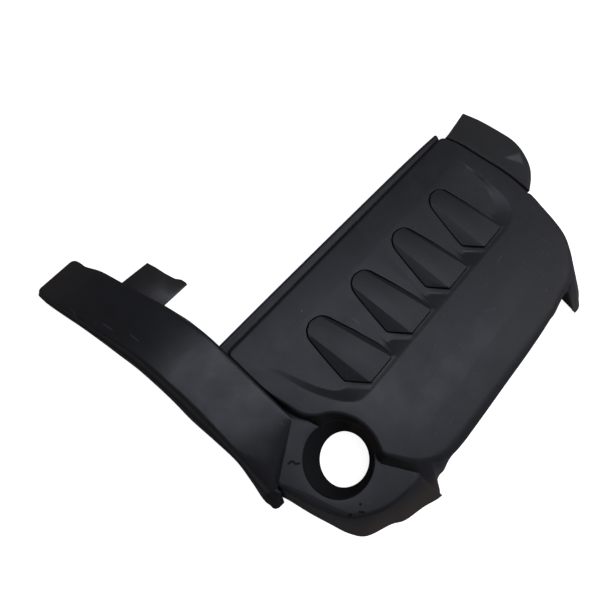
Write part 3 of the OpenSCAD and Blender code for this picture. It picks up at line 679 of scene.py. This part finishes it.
# the outer wall from its foot up, with its crease: share of the height, and how far it stands out
WALL_STEPS = ((0, 0), (0.25, 0.5), (0.46, 1.6), (0.485, 1.5), (0.505, 0.5), (0.53, 0), (0.62, 0))
HOOD_R, TOE_BEND = 4.0, 16.0     # radius of the hood's edges, and the outer one's gain near the toe


def turned(start, corner, end, steps):
    """Points of a rounded corner from start to end."""
    return [(1 - t)**2 * start + 2*t*(1 - t)*corner + t*t*end
            for t in (k / steps for k in range(steps + 1))]


def channel_section(station):
    """The hood from foot to foot. Near the toe the outer edge bends over more gently."""
    outer_foot, outer, inner, inner_foot = station
    bend = HOOD_R + TOE_BEND * float(smooth((112.0 - outer[1]) / 60.0))
    along = (inner - outer) / np.linalg.norm(inner - outer)
    pts = [outer_foot + (outer - outer_foot)*up - np.array([out, 0, 0]) for up, out in WALL_STEPS]
    start = outer + (outer_foot - outer) * min(0.34, bend / (outer[2] - outer_foot[2]))
    end = outer + along*bend
    pts += turned(start, outer, end, 8)
    pts += [end + (inner - end)*k/6 for k in range(1, 6)]
    for a in (math.radians(90 - 15*k) for k in range(7)):
        pts.append(inner - along*(HOOD_R - HOOD_R*math.cos(a))
                   + np.array([0, 0, HOOD_R*math.sin(a) - HOOD_R]))
    return pts + [inner + (inner_foot - inner)*down for down in (0.4, 0.7, 1)]


def build_channel():
    s = Skin()
    sections = [channel_section(q) for q in open_curve(ARM_KEYS, 5)]
    s.cap(s.rings(s.chain(sections[0]), sections[1:], wrap=False))
    return thicken(s.done("channel_hood"))


# the toe's outline at its foot, the corner that it narrows towards, and its levels: how far each
# is moved in x, y and z, and how wide it is left
TOE = [[-89.4, 27], [-89.6, 22.5], [-88.2, 19.4], [-84.8, 17.4], [-80.5, 16.8], [-77, 16.7],
       [-77, 19.5], [-83.4, 20.6], [-85.4, 23], [-86.4, 27.5]]
TOE_CORNER = np.array([-88.4, 20.4])
TOE_LEVELS = ((0, 0, 0, 1), (1.2, 2.2, 4.5, .93), (3.2, 6.0, 12, .78), (5.4, 10.2, 20, .62),
              (7.8, 15.4, 30, .46), (10.4, 21.2, 41, .3))


def build_toe():
    """The rounded toe that closes the hood's near end beside the deck's apron."""
    s = Skin()
    rings = []
    for dx, dy, dz, narrow in TOE_LEVELS:
        pts = np.array(TOE) - TOE_CORNER
        pts[:, 0] = np.where(pts[:, 0] > 0, pts[:, 0] * narrow, pts[:, 0])
        rings.append(level(pts + TOE_CORNER + (dx, dy), FOOT + dz))
    v = s.loop(rings[0])
    s.cap(v)
    s.cap(s.rings(v, rings[1:]))
    return s.done("channel_toe")


TAB_TOP = TOP - 40
TAB = [[-38, 307], [-20, 306.4], [0, 305.5], [3, 296], [5.5, 284], [9, 273], [13.5, 267],
       [14.5, 262], [14, 259], [-24, 259]]


def build_tab():
    """The flat tab on the hood's inner side."""
    return prism("side_tab", TAB, TAB_TOP - WALL, TAB_TOP, 0.6)


# end extension: heights of its edge beside the cover, of the inner flange's foot, of the far edge
# and of the hem below it
EDGE, FLANGE, OUT = TOP - 1, TOP - 12, TOP - 15
HEM = OUT - 22
# stations from the front to the rear: the flange's foot, the edge, the far edge and the hem
END_KEYS = [
    [[376, 171, FLANGE], [375, 171, EDGE], [437, 178, OUT], [440, 173, HEM]],
    [[385, 152, FLANGE], [384.5, 152, EDGE], [448.5, 156, OUT], [452, 158, HEM]],
    [[394, 123, FLANGE], [393.5, 123, EDGE], [460, 126, OUT], [463, 128, HEM]],
    [[403, 94, FLANGE], [402.5, 94, EDGE], [466.5, 103, OUT], [469, 104, HEM]],
    [[407, 77, FLANGE], [406.5, 77, EDGE], [465, 84, OUT], [467, 84, HEM]],
    [[409, 64, FLANGE], [408.5, 64, EDGE], [456, 64, OUT], [457, 62, HEM]],
    [[410.5, 53, FLANGE], [410, 53, EDGE], [442, 51.5, OUT], [442, 50, HEM]],
    [[411.5, 46, FLANGE], [411, 46, EDGE - 2], [424, 42, OUT], [424, 40, HEM]]]


def end_section(station):
    flange, edge, far, hem = station
    inwards = (edge - far) / np.linalg.norm(edge - far)
    down = (hem - far) / np.linalg.norm(hem - far)
    bend = far + inwards*6
    pts = [flange, edge + np.array([0, 0, -1.2]),
           edge + np.array([0.3, 0, -0.35]) - inwards*0.1, edge - inwards*1.1]
    pts += [edge + (bend - edge)*k/8 for k in range(1, 8)]
    pts += turned(bend, far, far + down*5, 6)
    return pts + [far + (hem - far)*0.6, hem]


def build_extension():
    s = Skin()
    sections = [end_section(q) for q in open_curve(END_KEYS, 10)]
    v = s.chain(sections[0])
    s.cap(v)
    s.cap(s.rings(v, sections[1:], wrap=False))
    return thicken(s.done("extension_hood"))


# hidden side
GROMMETS = [(62, -18), (346, -22), (44, 156), (340, 156)]    # places of the four ball sockets
LUGS = [(392, 80), (374, 140)]                               # of the extension's two lugs
ARM_POSTS = [(-46, 92), (-34, 146)]                          # of the channel cover's two posts
PANEL_POSTS = [(73, 118), (86, 66)]                          # of the first panel's two posts
INNER = TOP - 2                  # what hangs below the top face starts inside its wall
CUP, CUP_NECK, CUP_BORE, CUP_R = TOP - 24, 8, 12.8, 15
RIB_FOOT, RIB_WALL = TOP - 12, 2
RIBS_X, RIBS_Y = (110, 186, 262, 338), (-45, 8)              # of the ribs across and along
FOOT_RIB_X, FOOT_RIB_Y, FOOT_RIB_H = 376, (-125.5, -88), 32.2
SHELF_TOP = TOP - 30
LUG_TOP = TOP - 9
POST_BORE, PIN_R, PIN_TIP = 2.15, 2, 1.6
CORE = 0.3                       # radius of the fine hole that a turned solid keeps on its axis


def build_cup(i, at):
    """A cup that a grommet sits in, with its neck below."""
    return lathe(f"grommet_cup_{i + 1}", at, [
        (CUP_NECK, CUP), (CUP_R, CUP), (CUP_R, INNER), (CUP_BORE, INNER), (CUP_BORE, CUP + WALL),
        (CUP_NECK, CUP + WALL)])


def build_ribs():
    across = [block(f"cross_rib_{i + 1}", (x, -70, RIB_FOOT), (x + RIB_WALL, 32, INNER))
              for i, x in enumerate(RIBS_X)]
    along = [block(f"long_rib_{i + 1}", (60, y, RIB_FOOT), (380, y + RIB_WALL, INNER))
             for i, y in enumerate(RIBS_Y)]
    return across + along


def build_shelf():
    """The shelf below the channel cover, its web, and the posts that take the cover's pins."""
    low, high = SHELF_TOP - WALL, TOP + 1.2
    made = [block("channel_shelf", (-62, 70, low), (-10, 162, SHELF_TOP)),
            block("shelf_web", (-62, 74, low), (-12, 74 + WALL, DECK - 1))]
    return made + [lathe(f"shelf_post_{i + 1}", at, [
        (POST_BORE, TOP - 20), (POST_BORE, high), (5, high), (5, SHELF), (POST_BORE, SHELF)])
        for i, at in enumerate(ARM_POSTS)]


def build_boss(i, at):
    """A boss that goes through one of the extension's lugs, with its staked head below."""
    return lathe(f"lug_boss_{i + 1}", at, [
        (0.4, TOP - 13.3), (4.5, TOP - 13.3), (4.3, TOP - 12.2), (2.5, TOP - 11.8), (2.5, LUG_TOP),
        (5, LUG_TOP), (5, INNER), (0.4, INNER)])


def build_foot_rib():
    """The rib inside the far foot that shows through the notch."""
    s = Skin()
    y0, y1 = FOOT_RIB_Y
    near, far = [[(x, y0, FOOT), (x, y1, FOOT), (x, y1, FOOT + FOOT_RIB_H)]
                 for x in (FOOT_RIB_X, FOOT_RIB_X + RIB_WALL)]
    v = s.loop(near)
    s.cap(v)
    s.cap(s.grow(v, far))
    return s.done("foot_rib")


def build_panel_posts(k):
    """The posts that hold panel k, staked below the pocket's floor."""
    below, seat = POCKET - WALL, POCKET + 8.2
    return [lathe(f"panel_post_{k + 1}_{i + 1}", (x + PITCH*k, y), [
        (CORE, below - 2), (4.2, below - 2), (5, below - 1.2), (4.8, below - 0.1), (3, below),
        (3, POCKET), (5, POCKET), (5, seat), (3, seat), (3, INNER), (CORE, INNER)], 32)
        for i, (x, y) in enumerate(PANEL_POSTS)]


def build_lugs():
    """The extension's lugs, each reaching to its own edge of the extension."""
    return [block(f"extension_lug_{i + 1}", (x - 10, y - 9, LUG_TOP - WALL),
                  (x + reach, y + 9, LUG_TOP))
            for i, ((x, y), reach) in enumerate(zip(LUGS, (16, 17)))]


def build_arm_pins():
    """The channel cover's pins, which stand in the shelf's posts."""
    tip, top = ARM_TOP - WALL - 8, ARM_TOP - 1.4
    return [lathe(f"channel_pin_{i + 1}", at, [
        (CORE, tip), (PIN_TIP, tip), (PIN_R, tip + 0.6), (PIN_R, top), (CORE, top)], 24)
        for i, at in enumerate(ARM_POSTS)]


# materials
class Sock:
    """A shader socket that takes part in ordinary arithmetic."""

    def __init__(self, tree, out):
        self.tree, self.out = tree, out

    def maths(self, operation, *values, clamp=False):
        n = self.tree.nodes.new("ShaderNodeMath")
        n.operation = operation
        n.use_clamp = clamp
        for socket, value in zip(n.inputs, values):
            feed(self.tree, socket, value)
        return Sock(self.tree, n.outputs[0])

    def __add__(self, b): return self.maths("ADD", self, b)
    def __radd__(self, b): return self.maths("ADD", b, self)
    def __sub__(self, b): return self.maths("SUBTRACT", self, b)
    def __rsub__(self, b): return self.maths("SUBTRACT", b, self)
    def __mul__(self, b): return self.maths("MULTIPLY", self, b)
    def __rmul__(self, b): return self.maths("MULTIPLY", b, self)
    def __truediv__(self, b): return self.maths("DIVIDE", self, b)
    def abs(self): return self.maths("ABSOLUTE", self)
    def sin(self): return self.maths("SINE", self)
    def clip(self): return self.maths("ADD", self, 0.0, clamp=True)
    def high(self, b): return self.maths("MAXIMUM", self, b)

    def ramp(self, lo, hi):
        """0 at lo and 1 at hi, eased."""
        x = ((self - lo) / (hi - lo)).clip()
        return x * x * (3.0 - 2.0 * x)


def feed(tree, socket, value):
    """Links a shader socket to another, or sets its value."""
    if isinstance(value, Sock):
        tree.links.new(value.out, socket)
    elif socket.type == "RGBA":
        socket.default_value = (*value[:3], 1.0)
    else:
        socket.default_value = value


def highest(masks):
    """The highest of the masks at each point, or 0.0 where there are none."""
    masks = list(masks)
    return functools.reduce(Sock.high, masks) if masks else 0.0


class Paint:
    """One material: its node tree, the place on the piece in millimetres, and masks and noises."""

    def __init__(self, name):
        self.material = bpy.data.materials.new(name)
        self.material.use_nodes = True
        self.tree = self.material.node_tree
        self.shader = self.tree.nodes["Principled BSDF"]
        self.place = self.node("ShaderNodeTexCoord", out="Object")
        apart = self.node("ShaderNodeSeparateXYZ", inputs={0: self.place}).out.node
        self.x, self.y, self.z = (Sock(self.tree, out) * 1000.0 for out in apart.outputs)

    def node(self, kind, settings=None, inputs=None, out=0):
        """Adds a node with its settings and its sockets' values or links; returns one output."""
        n = self.tree.nodes.new(kind)
        for name, value in (settings or {}).items():
            setattr(n, name, value)
        for name, value in (inputs or {}).items():
            feed(self.tree, n.inputs[name], value)
        return Sock(self.tree, n.outputs[out])

    def put(self, **values):
        """Sets or links the shader's own sockets."""
        for name, value in values.items():
            feed(self.tree, self.shader.inputs[name.replace("_", " ")], value)

    def noise(self, scale, detail=2.0, rough=0.5, at=None):
        return self.node("ShaderNodeTexNoise", inputs={
            "Vector": at or self.place, "Scale": scale, "Detail": detail, "Roughness": rough})

    def stretched(self, sx, sy, sz, turn):
        return self.node("ShaderNodeMapping", inputs={
            "Vector": self.place, "Scale": (sx, sy, sz), "Rotation": (0, 0, turn)})

    def tint(self, mask, under, over):
        """The colour under, with the colour over laid on it by the mask."""
        if isinstance(mask, float):
            return under
        colours = {0: mask, 6: under, 7: over}
        return self.node("ShaderNodeMix", {"data_type": "RGBA"}, colours, out=2)

    def relief(self, height, strength, distance):
        self.put(Normal=self.node("ShaderNodeBump", inputs={
            "Height": height, "Strength": strength, "Distance": distance}))

    def patch(self, corners, soft=3.5):
        """1 inside a soft-edged patch with the given corners, counted anticlockwise."""
        inside = None
        for (ax, ay), (bx, by) in zip(corners, corners[1:] + corners[:1]):
            run = math.hypot(bx - ax, by - ay)
            d = (self.y - ay) * ((bx - ax) / run) - (self.x - ax) * ((by - ay) / run)
            edge = d.ramp(-soft * 0.4, soft)
            inside = edge if inside is None else inside * edge
        return inside

    def stroke(self, cx, cy, turn, length, width, bend=0.0, waves=1.0):
        """1 along a short stroke on the top: a line of that length, wavy if bend is given."""
        c, s = math.cos(math.radians(turn)), math.sin(math.radians(turn))
        u = (self.x - cx) * c + (self.y - cy) * s
        v = (self.y - cy) * c - (self.x - cx) * s
        if bend:
            v = v - (u * (2 * math.pi * waves / length)).sin() * bend
        beside = 1.0 - v.abs().ramp(width * 0.35, width * 0.7)
        return beside * (1.0 - u.abs().ramp(length * 0.46, length * 0.52))

    def strokes(self, rows):
        """The highest of several strokes, each with its strength last."""
        return highest(self.stroke(*row) * amount for *row, amount in rows)


SKIRT_REFLECTION_AND_DIRT_BROWN = (0.066, 0.047, 0.033)     # painted warm floor reflection, with dried dirt, on the lower walls
FILLER_SHADE_BLACK = (0.0030, 0.0028, 0.0032)   # painted shade on the funnel and the bite wall around the filler
FILLER_WALL_BROWN = (0.034, 0.017, 0.013)     # reddish brown on the wall beside the filler, over that painted shade
SHADE_AND_DIRT_BLACK = (0.0030, 0.0026, 0.0030)  # painted shade over the channel's toe, and painted shade with dirt in the deck's edge crease
INK_BLACK = (0.002, 0.002, 0.002)
DUST_GREY, RUBBED_GREY, SCUFF_GREY = (0.16, 0.165, 0.17), (0.22, 0.22, 0.23), (0.14, 0.14, 0.138)
# the reddish brown patch's corners in the plan, on the wall beside the filler
FILLER_WALL_PATCH = [(19, -13), (26, -19), (39, -6), (41, 16), (33, 30), (25, 24)]


def moulded(name, colour, rough, scratches=(), marks=(), scuffs=(), shade_and_dirt_strokes=(), filler_shade_at=None,
            wear=0.5, skirt=0.8):
    """Grained black plastic. The rows are strokes of scratches, ink marks and painted shade with
    dirt in the creases, and scuffed patches; filler_shade_at is the place and reach of the painted
    shade around the filler, and skirt how brown the low walls are: painted warm floor reflection
    with dirt."""
    p = Paint(name)
    grain = p.noise(5200.0, 1.0, 0.5)
    mottle = p.noise(34.0, 4.0, 0.6)
    cloud = p.noise(9.0, 3.0, 0.55)
    dust = p.noise(420.0, 2.0, 0.7).ramp(0.66, 0.78) * mottle.ramp(0.45, 0.7)
    # fine hairline wear, along two ways
    hair = p.noise(60.0, 5.0, 0.6, p.stretched(1.0, 16.0, 1.0, 0.5)).ramp(0.665, 0.70)
    hair = hair.high(p.noise(48.0, 5.0, 0.6, p.stretched(14.0, 1.0, 1.0, -0.35)).ramp(0.67, 0.705))
    rub = (hair * cloud.ramp(0.45, 0.62) * wear).clip()
    if scratches:
        rub = rub.high(p.strokes(scratches))
    scuff = highest(p.patch(corners) * (mottle.ramp(0.3, 0.6) * 0.3 + 0.7) * amount
                    for corners, amount in scuffs)
    # painted shade: dark strokes along the deck's rolled edge crease, with its dirt, and over the
    # channel's toe
    shade_and_dirt = p.strokes(shade_and_dirt_strokes)
    ink = highest(p.stroke(*row) for row in marks)
    # painted warm floor reflection with dirt: the low walls browner and lighter towards the bottom
    low = (1.0 - p.z.ramp(-12.0, 27.0)) * (mottle * 0.7 + 0.65) * skirt
    filler_shade, wall_brown = 0.0, 0.0
    # painted shade: near black on the funnel's and the bite's walls close to the filler, where the
    # low walls' brown is also taken off
    if filler_shade_at:
        cx, cy, reach = filler_shade_at
        apart = (p.x - cx) * (p.x - cx) + (p.y - cy) * (p.y - cy)
        near = 1.0 - apart.ramp((reach - 2.0)**2, (reach + 2.0)**2)
        walls = (p.z - DECK).abs().ramp(0.5, 2.0) * (1.0 - p.z.ramp(TOP - 4.0, TOP - 1.5))
        filler_shade = near * walls
        # reddish brown over part of that painted shade, on the wall beside the filler
        wall_brown = filler_shade * p.patch(FILLER_WALL_PATCH, 5.0)
        low = low * (1.0 - near)

    base = p.tint(mottle.ramp(0.3, 0.7), tuple(c * 0.9 for c in colour),
                  tuple(c * 1.12 for c in colour))
    for mask, over in ((low.clip(), SKIRT_REFLECTION_AND_DIRT_BROWN), (filler_shade, FILLER_SHADE_BLACK), (wall_brown, FILLER_WALL_BROWN),
                       (dust * 0.36, DUST_GREY), (rub * 0.45, RUBBED_GREY), (scuff, SCUFF_GREY),
                       (shade_and_dirt, SHADE_AND_DIRT_BLACK), (ink, INK_BLACK)):
        base = p.tint(mask, base, over)
    dull = (mottle - 0.5) * 0.26 + (cloud - 0.5) * 0.18 + rub * 0.12 + dust * 0.15
    for mask, amount in ((filler_shade, 0.3), (shade_and_dirt, 0.3), (ink, 0.4)):
        dull = dull + mask * amount
    p.put(Base_Color=base, Roughness=(rough + dull).clip(), Specular_IOR_Level=0.42)
    p.relief(grain * 0.6 + mottle * 0.25 - rub * 0.5, 0.10, 0.0004)
    return p.material


def rubber(name):
    p = Paint(name)
    fine, patch = p.noise(2600.0), p.noise(90.0, 3.0)
    p.put(Base_Color=p.tint(patch.ramp(0.4, 0.7), (0.014, 0.014, 0.014), (0.028, 0.028, 0.027)),
          Roughness=(0.72 + (patch - 0.5) * 0.2).clip())
    p.relief(fine, 0.25, 0.0003)
    return p.material


# scratches, and strokes of painted shade with dirt: x, y, turn, length, width, strength
COVER_SCRATCHES = [
    (71.7, 150.8, 20, 2.6, 1.4, 0.8), (109.3, 99.5, -80, 9, 0.7, 0.9), (150, 12, 25, 16, 0.5, 0.4),
    (240, -10, -30, 18, 0.5, 0.35), (300, 20, 10, 12, 0.5, 0.5), (330, -35, 70, 10, 0.5, 0.4)]
# painted shade with dirt along the crease at the deck's rolled front edge
DECK_EDGE_SHADE_AND_DIRT = [
    (-64.3, 25.4, -69, 31, 5.0, 0.75), (-54.7, -3.5, -74, 37, 5.0, 0.75),
    (-46.7, -27.0, -66, 19, 5.0, 0.75), (-37.2, -40.7, -46, 21, 5.0, 0.75),
    (-22.3, -53.1, -35, 24, 5.0, 0.7), (-4.1, -62.5, -19, 23, 5.0, 0.55),
    (14.0, -67.0, -8, 20, 5.0, 0.4)]
HOOD_SCRATCHES = [
    (-79, 276, -83, 12, 0.8, 0.55), (-69.4, 249.5, -86, 12, 0.7, 0.5), (-92, 309, 60, 9, 0.7, 0.5)]
# painted shade that darkens the channel's toe
HOOD_TOE_SHADE = [(-83.5, 26, -65, 36, 24, 0.85)]
# ink marks on the deck: x, y, turn, length, width, bend, waves
DECK_MARKS = [
    (-47.9, 50.0, -16, 6.2, 2.2, 0, 1), (-45.1, 46.9, -88, 5.4, 2.2, 0, 1),
    (-43.2, 43.1, -40, 5.8, 2.2, 0, 1), (-32.5, -41.2, -65, 7.0, 2.0, 0.5, 0.6),
    (-27.8, -35.3, 20, 3.2, 2.6, 0, 1), (-43.1, -33.8, -50, 4.0, 2.8, 0, 1)]
# the scuffed patch near the extension's far corner: its corners and its strength
END_SCUFF = ([(420.5, 99.8), (443.8, 70.8), (455.4, 86.6)], 0.62)
FILLER_SHADE_AT = (-5.0, 20.0, 50.0)     # the painted shade around the filler: x, y and reach

COVER = moulded("cover_plastic", (0.0150, 0.0150, 0.0178), 0.46, COVER_SCRATCHES, DECK_MARKS,
                shade_and_dirt_strokes=DECK_EDGE_SHADE_AND_DIRT, filler_shade_at=FILLER_SHADE_AT)
PANEL = moulded("panel_plastic", (0.0165, 0.0164, 0.0185), 0.50, wear=0.75, skirt=0.0)
CHANNEL = moulded("channel_plastic", (0.0115, 0.0117, 0.0138), 0.36, HOOD_SCRATCHES,
                  shade_and_dirt_strokes=HOOD_TOE_SHADE, wear=0.6, skirt=0.35)
EXTENSION = moulded("extension_plastic", (0.0245, 0.0243, 0.0245), 0.52, scuffs=[END_SCUFF],
                    wear=0.6, skirt=0.0)
RUBBER = rubber("grommet_rubber")


# assembly
def paint(o, material):
    o.data.materials.clear()
    o.data.materials.append(material)


def place(o, material, node):
    """Paints a new piece, and lets it stand in for its CAD node."""
    paint(o, material)
    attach(o, "root")
    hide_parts(node)


shell, shell_face = build_shell()
for piece in (shell, build_deck(), build_lip(), lip_end("lip_end_near", *LIP_KEYS[0]),
              lip_end("lip_end_far", LIP_KEYS[-1][0] - LIP_END, LIP_KEYS[-1][1])):
    place(piece, COVER, "main_cover")
for k in range(PANELS):
    place(build_pocket(k, shell_face), COVER, "main_cover")
    for piece in (build_panel(k), *build_panel_posts(k)):
        place(piece, PANEL, f"inset_panel_{k + 1}")
for piece in (build_foot_rib(), *(build_cup(i, at) for i, at in enumerate(GROMMETS)),
              *build_ribs(), *build_shelf(), *(build_boss(i, at) for i, at in enumerate(LUGS))):
    place(piece, COVER, "main_cover")
for piece in (build_channel(), build_toe(), build_tab(), *build_arm_pins()):
    place(piece, CHANNEL, "arm_cover")
for piece in (build_extension(), *build_lugs()):
    place(piece, EXTENSION, "end_extension")
for i in range(len(GROMMETS)):
    paint(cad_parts[f"grommet_{i + 1}"], RUBBER)


# floor, light and camera
def floor_paint():
    """White where the camera sees the floor, and a middle grey in the light that it throws back."""
    p = Paint("floor_white")
    seen = p.node("ShaderNodeLightPath", out="Is Camera Ray")
    p.put(Base_Color=seen * 0.68 + 0.25, Roughness=0.9, Specular_IOR_Level=0.1,
          Emission_Color=(1, 1, 1), Emission_Strength=seen * 0.9)
    return p.material


def build_floor():
    bm = bmesh.new()
    bmesh.ops.create_grid(bm, x_segments=1, y_segments=1, size=6.0)
    o = finish_mesh("floor", bm)
    o.location.z = FOOT * MM - 0.0002     # just clear of the feet
    o.data.materials.append(floor_paint())
    return o


build_floor()

WINDOW_LIGHT, WARM_LIGHT = (0.80, 0.855, 1.0), (1.0, 0.95, 0.92)


def lamp(name, at, target, size, power, colour, turn=0.0):
    """A soft rectangular lamp, turned about the way it shines."""
    data = bpy.data.lights.new(name, "AREA")
    data.shape = "RECTANGLE"
    data.size, data.size_y = size
    data.energy = power
    data.color = colour
    o = link(name, data)
    o.location = at
    aim = (Vector(target) - Vector(at)).to_track_quat("-Z", "Y")
    o.rotation_euler = (aim @ Quaternion((0, 0, 1), math.radians(turn))).to_euler()


lamp("strip_softbox", (0.35, -0.1, 0.95), (0.35, -0.1, 0.0), (1.05, 0.26), 3.35, WINDOW_LIGHT, -45)
lamp("end_fill", (1.3, -0.8, 0.8), (0.25, 0.0, 0.0), (0.9, 0.9), 1.8, WARM_LIGHT)
lamp("end_softbox", (0.6, -0.35, 0.95), (0.6, -0.35, 0.0), (0.26, 0.26), 0.7, WINDOW_LIGHT, -45)

world = bpy.data.worlds.new("studio")
bpy.context.scene.world = world
world.use_nodes = True
sky = world.node_tree.nodes["Background"]
sky.inputs["Color"].default_value = (0.92, 0.92, 1.0, 1)
sky.inputs["Strength"].default_value = 0.19

# the camera's place, and which way the picture's right and top and the way back from it point
CAMERA_AT = (-0.1199, 0.1760, 0.5808)
RIGHT, UP, BACK = (0.6544, -0.7085, 0.2641), (0.6714, 0.7051, 0.2281), (-0.3478, 0.0280, 0.9372)

optics = bpy.data.cameras.new("camera")
optics.sensor_width = 36.0
optics.lens = 32.03
optics.clip_start, optics.clip_end = 0.01, 50
camera = link("camera", optics)
camera.matrix_world = Matrix([*zip(RIGHT, UP, BACK, CAMERA_AT), (0, 0, 0, 1)])
bpy.context.scene.camera = camera
bpy.context.scene.view_settings.view_transform = "Standard"
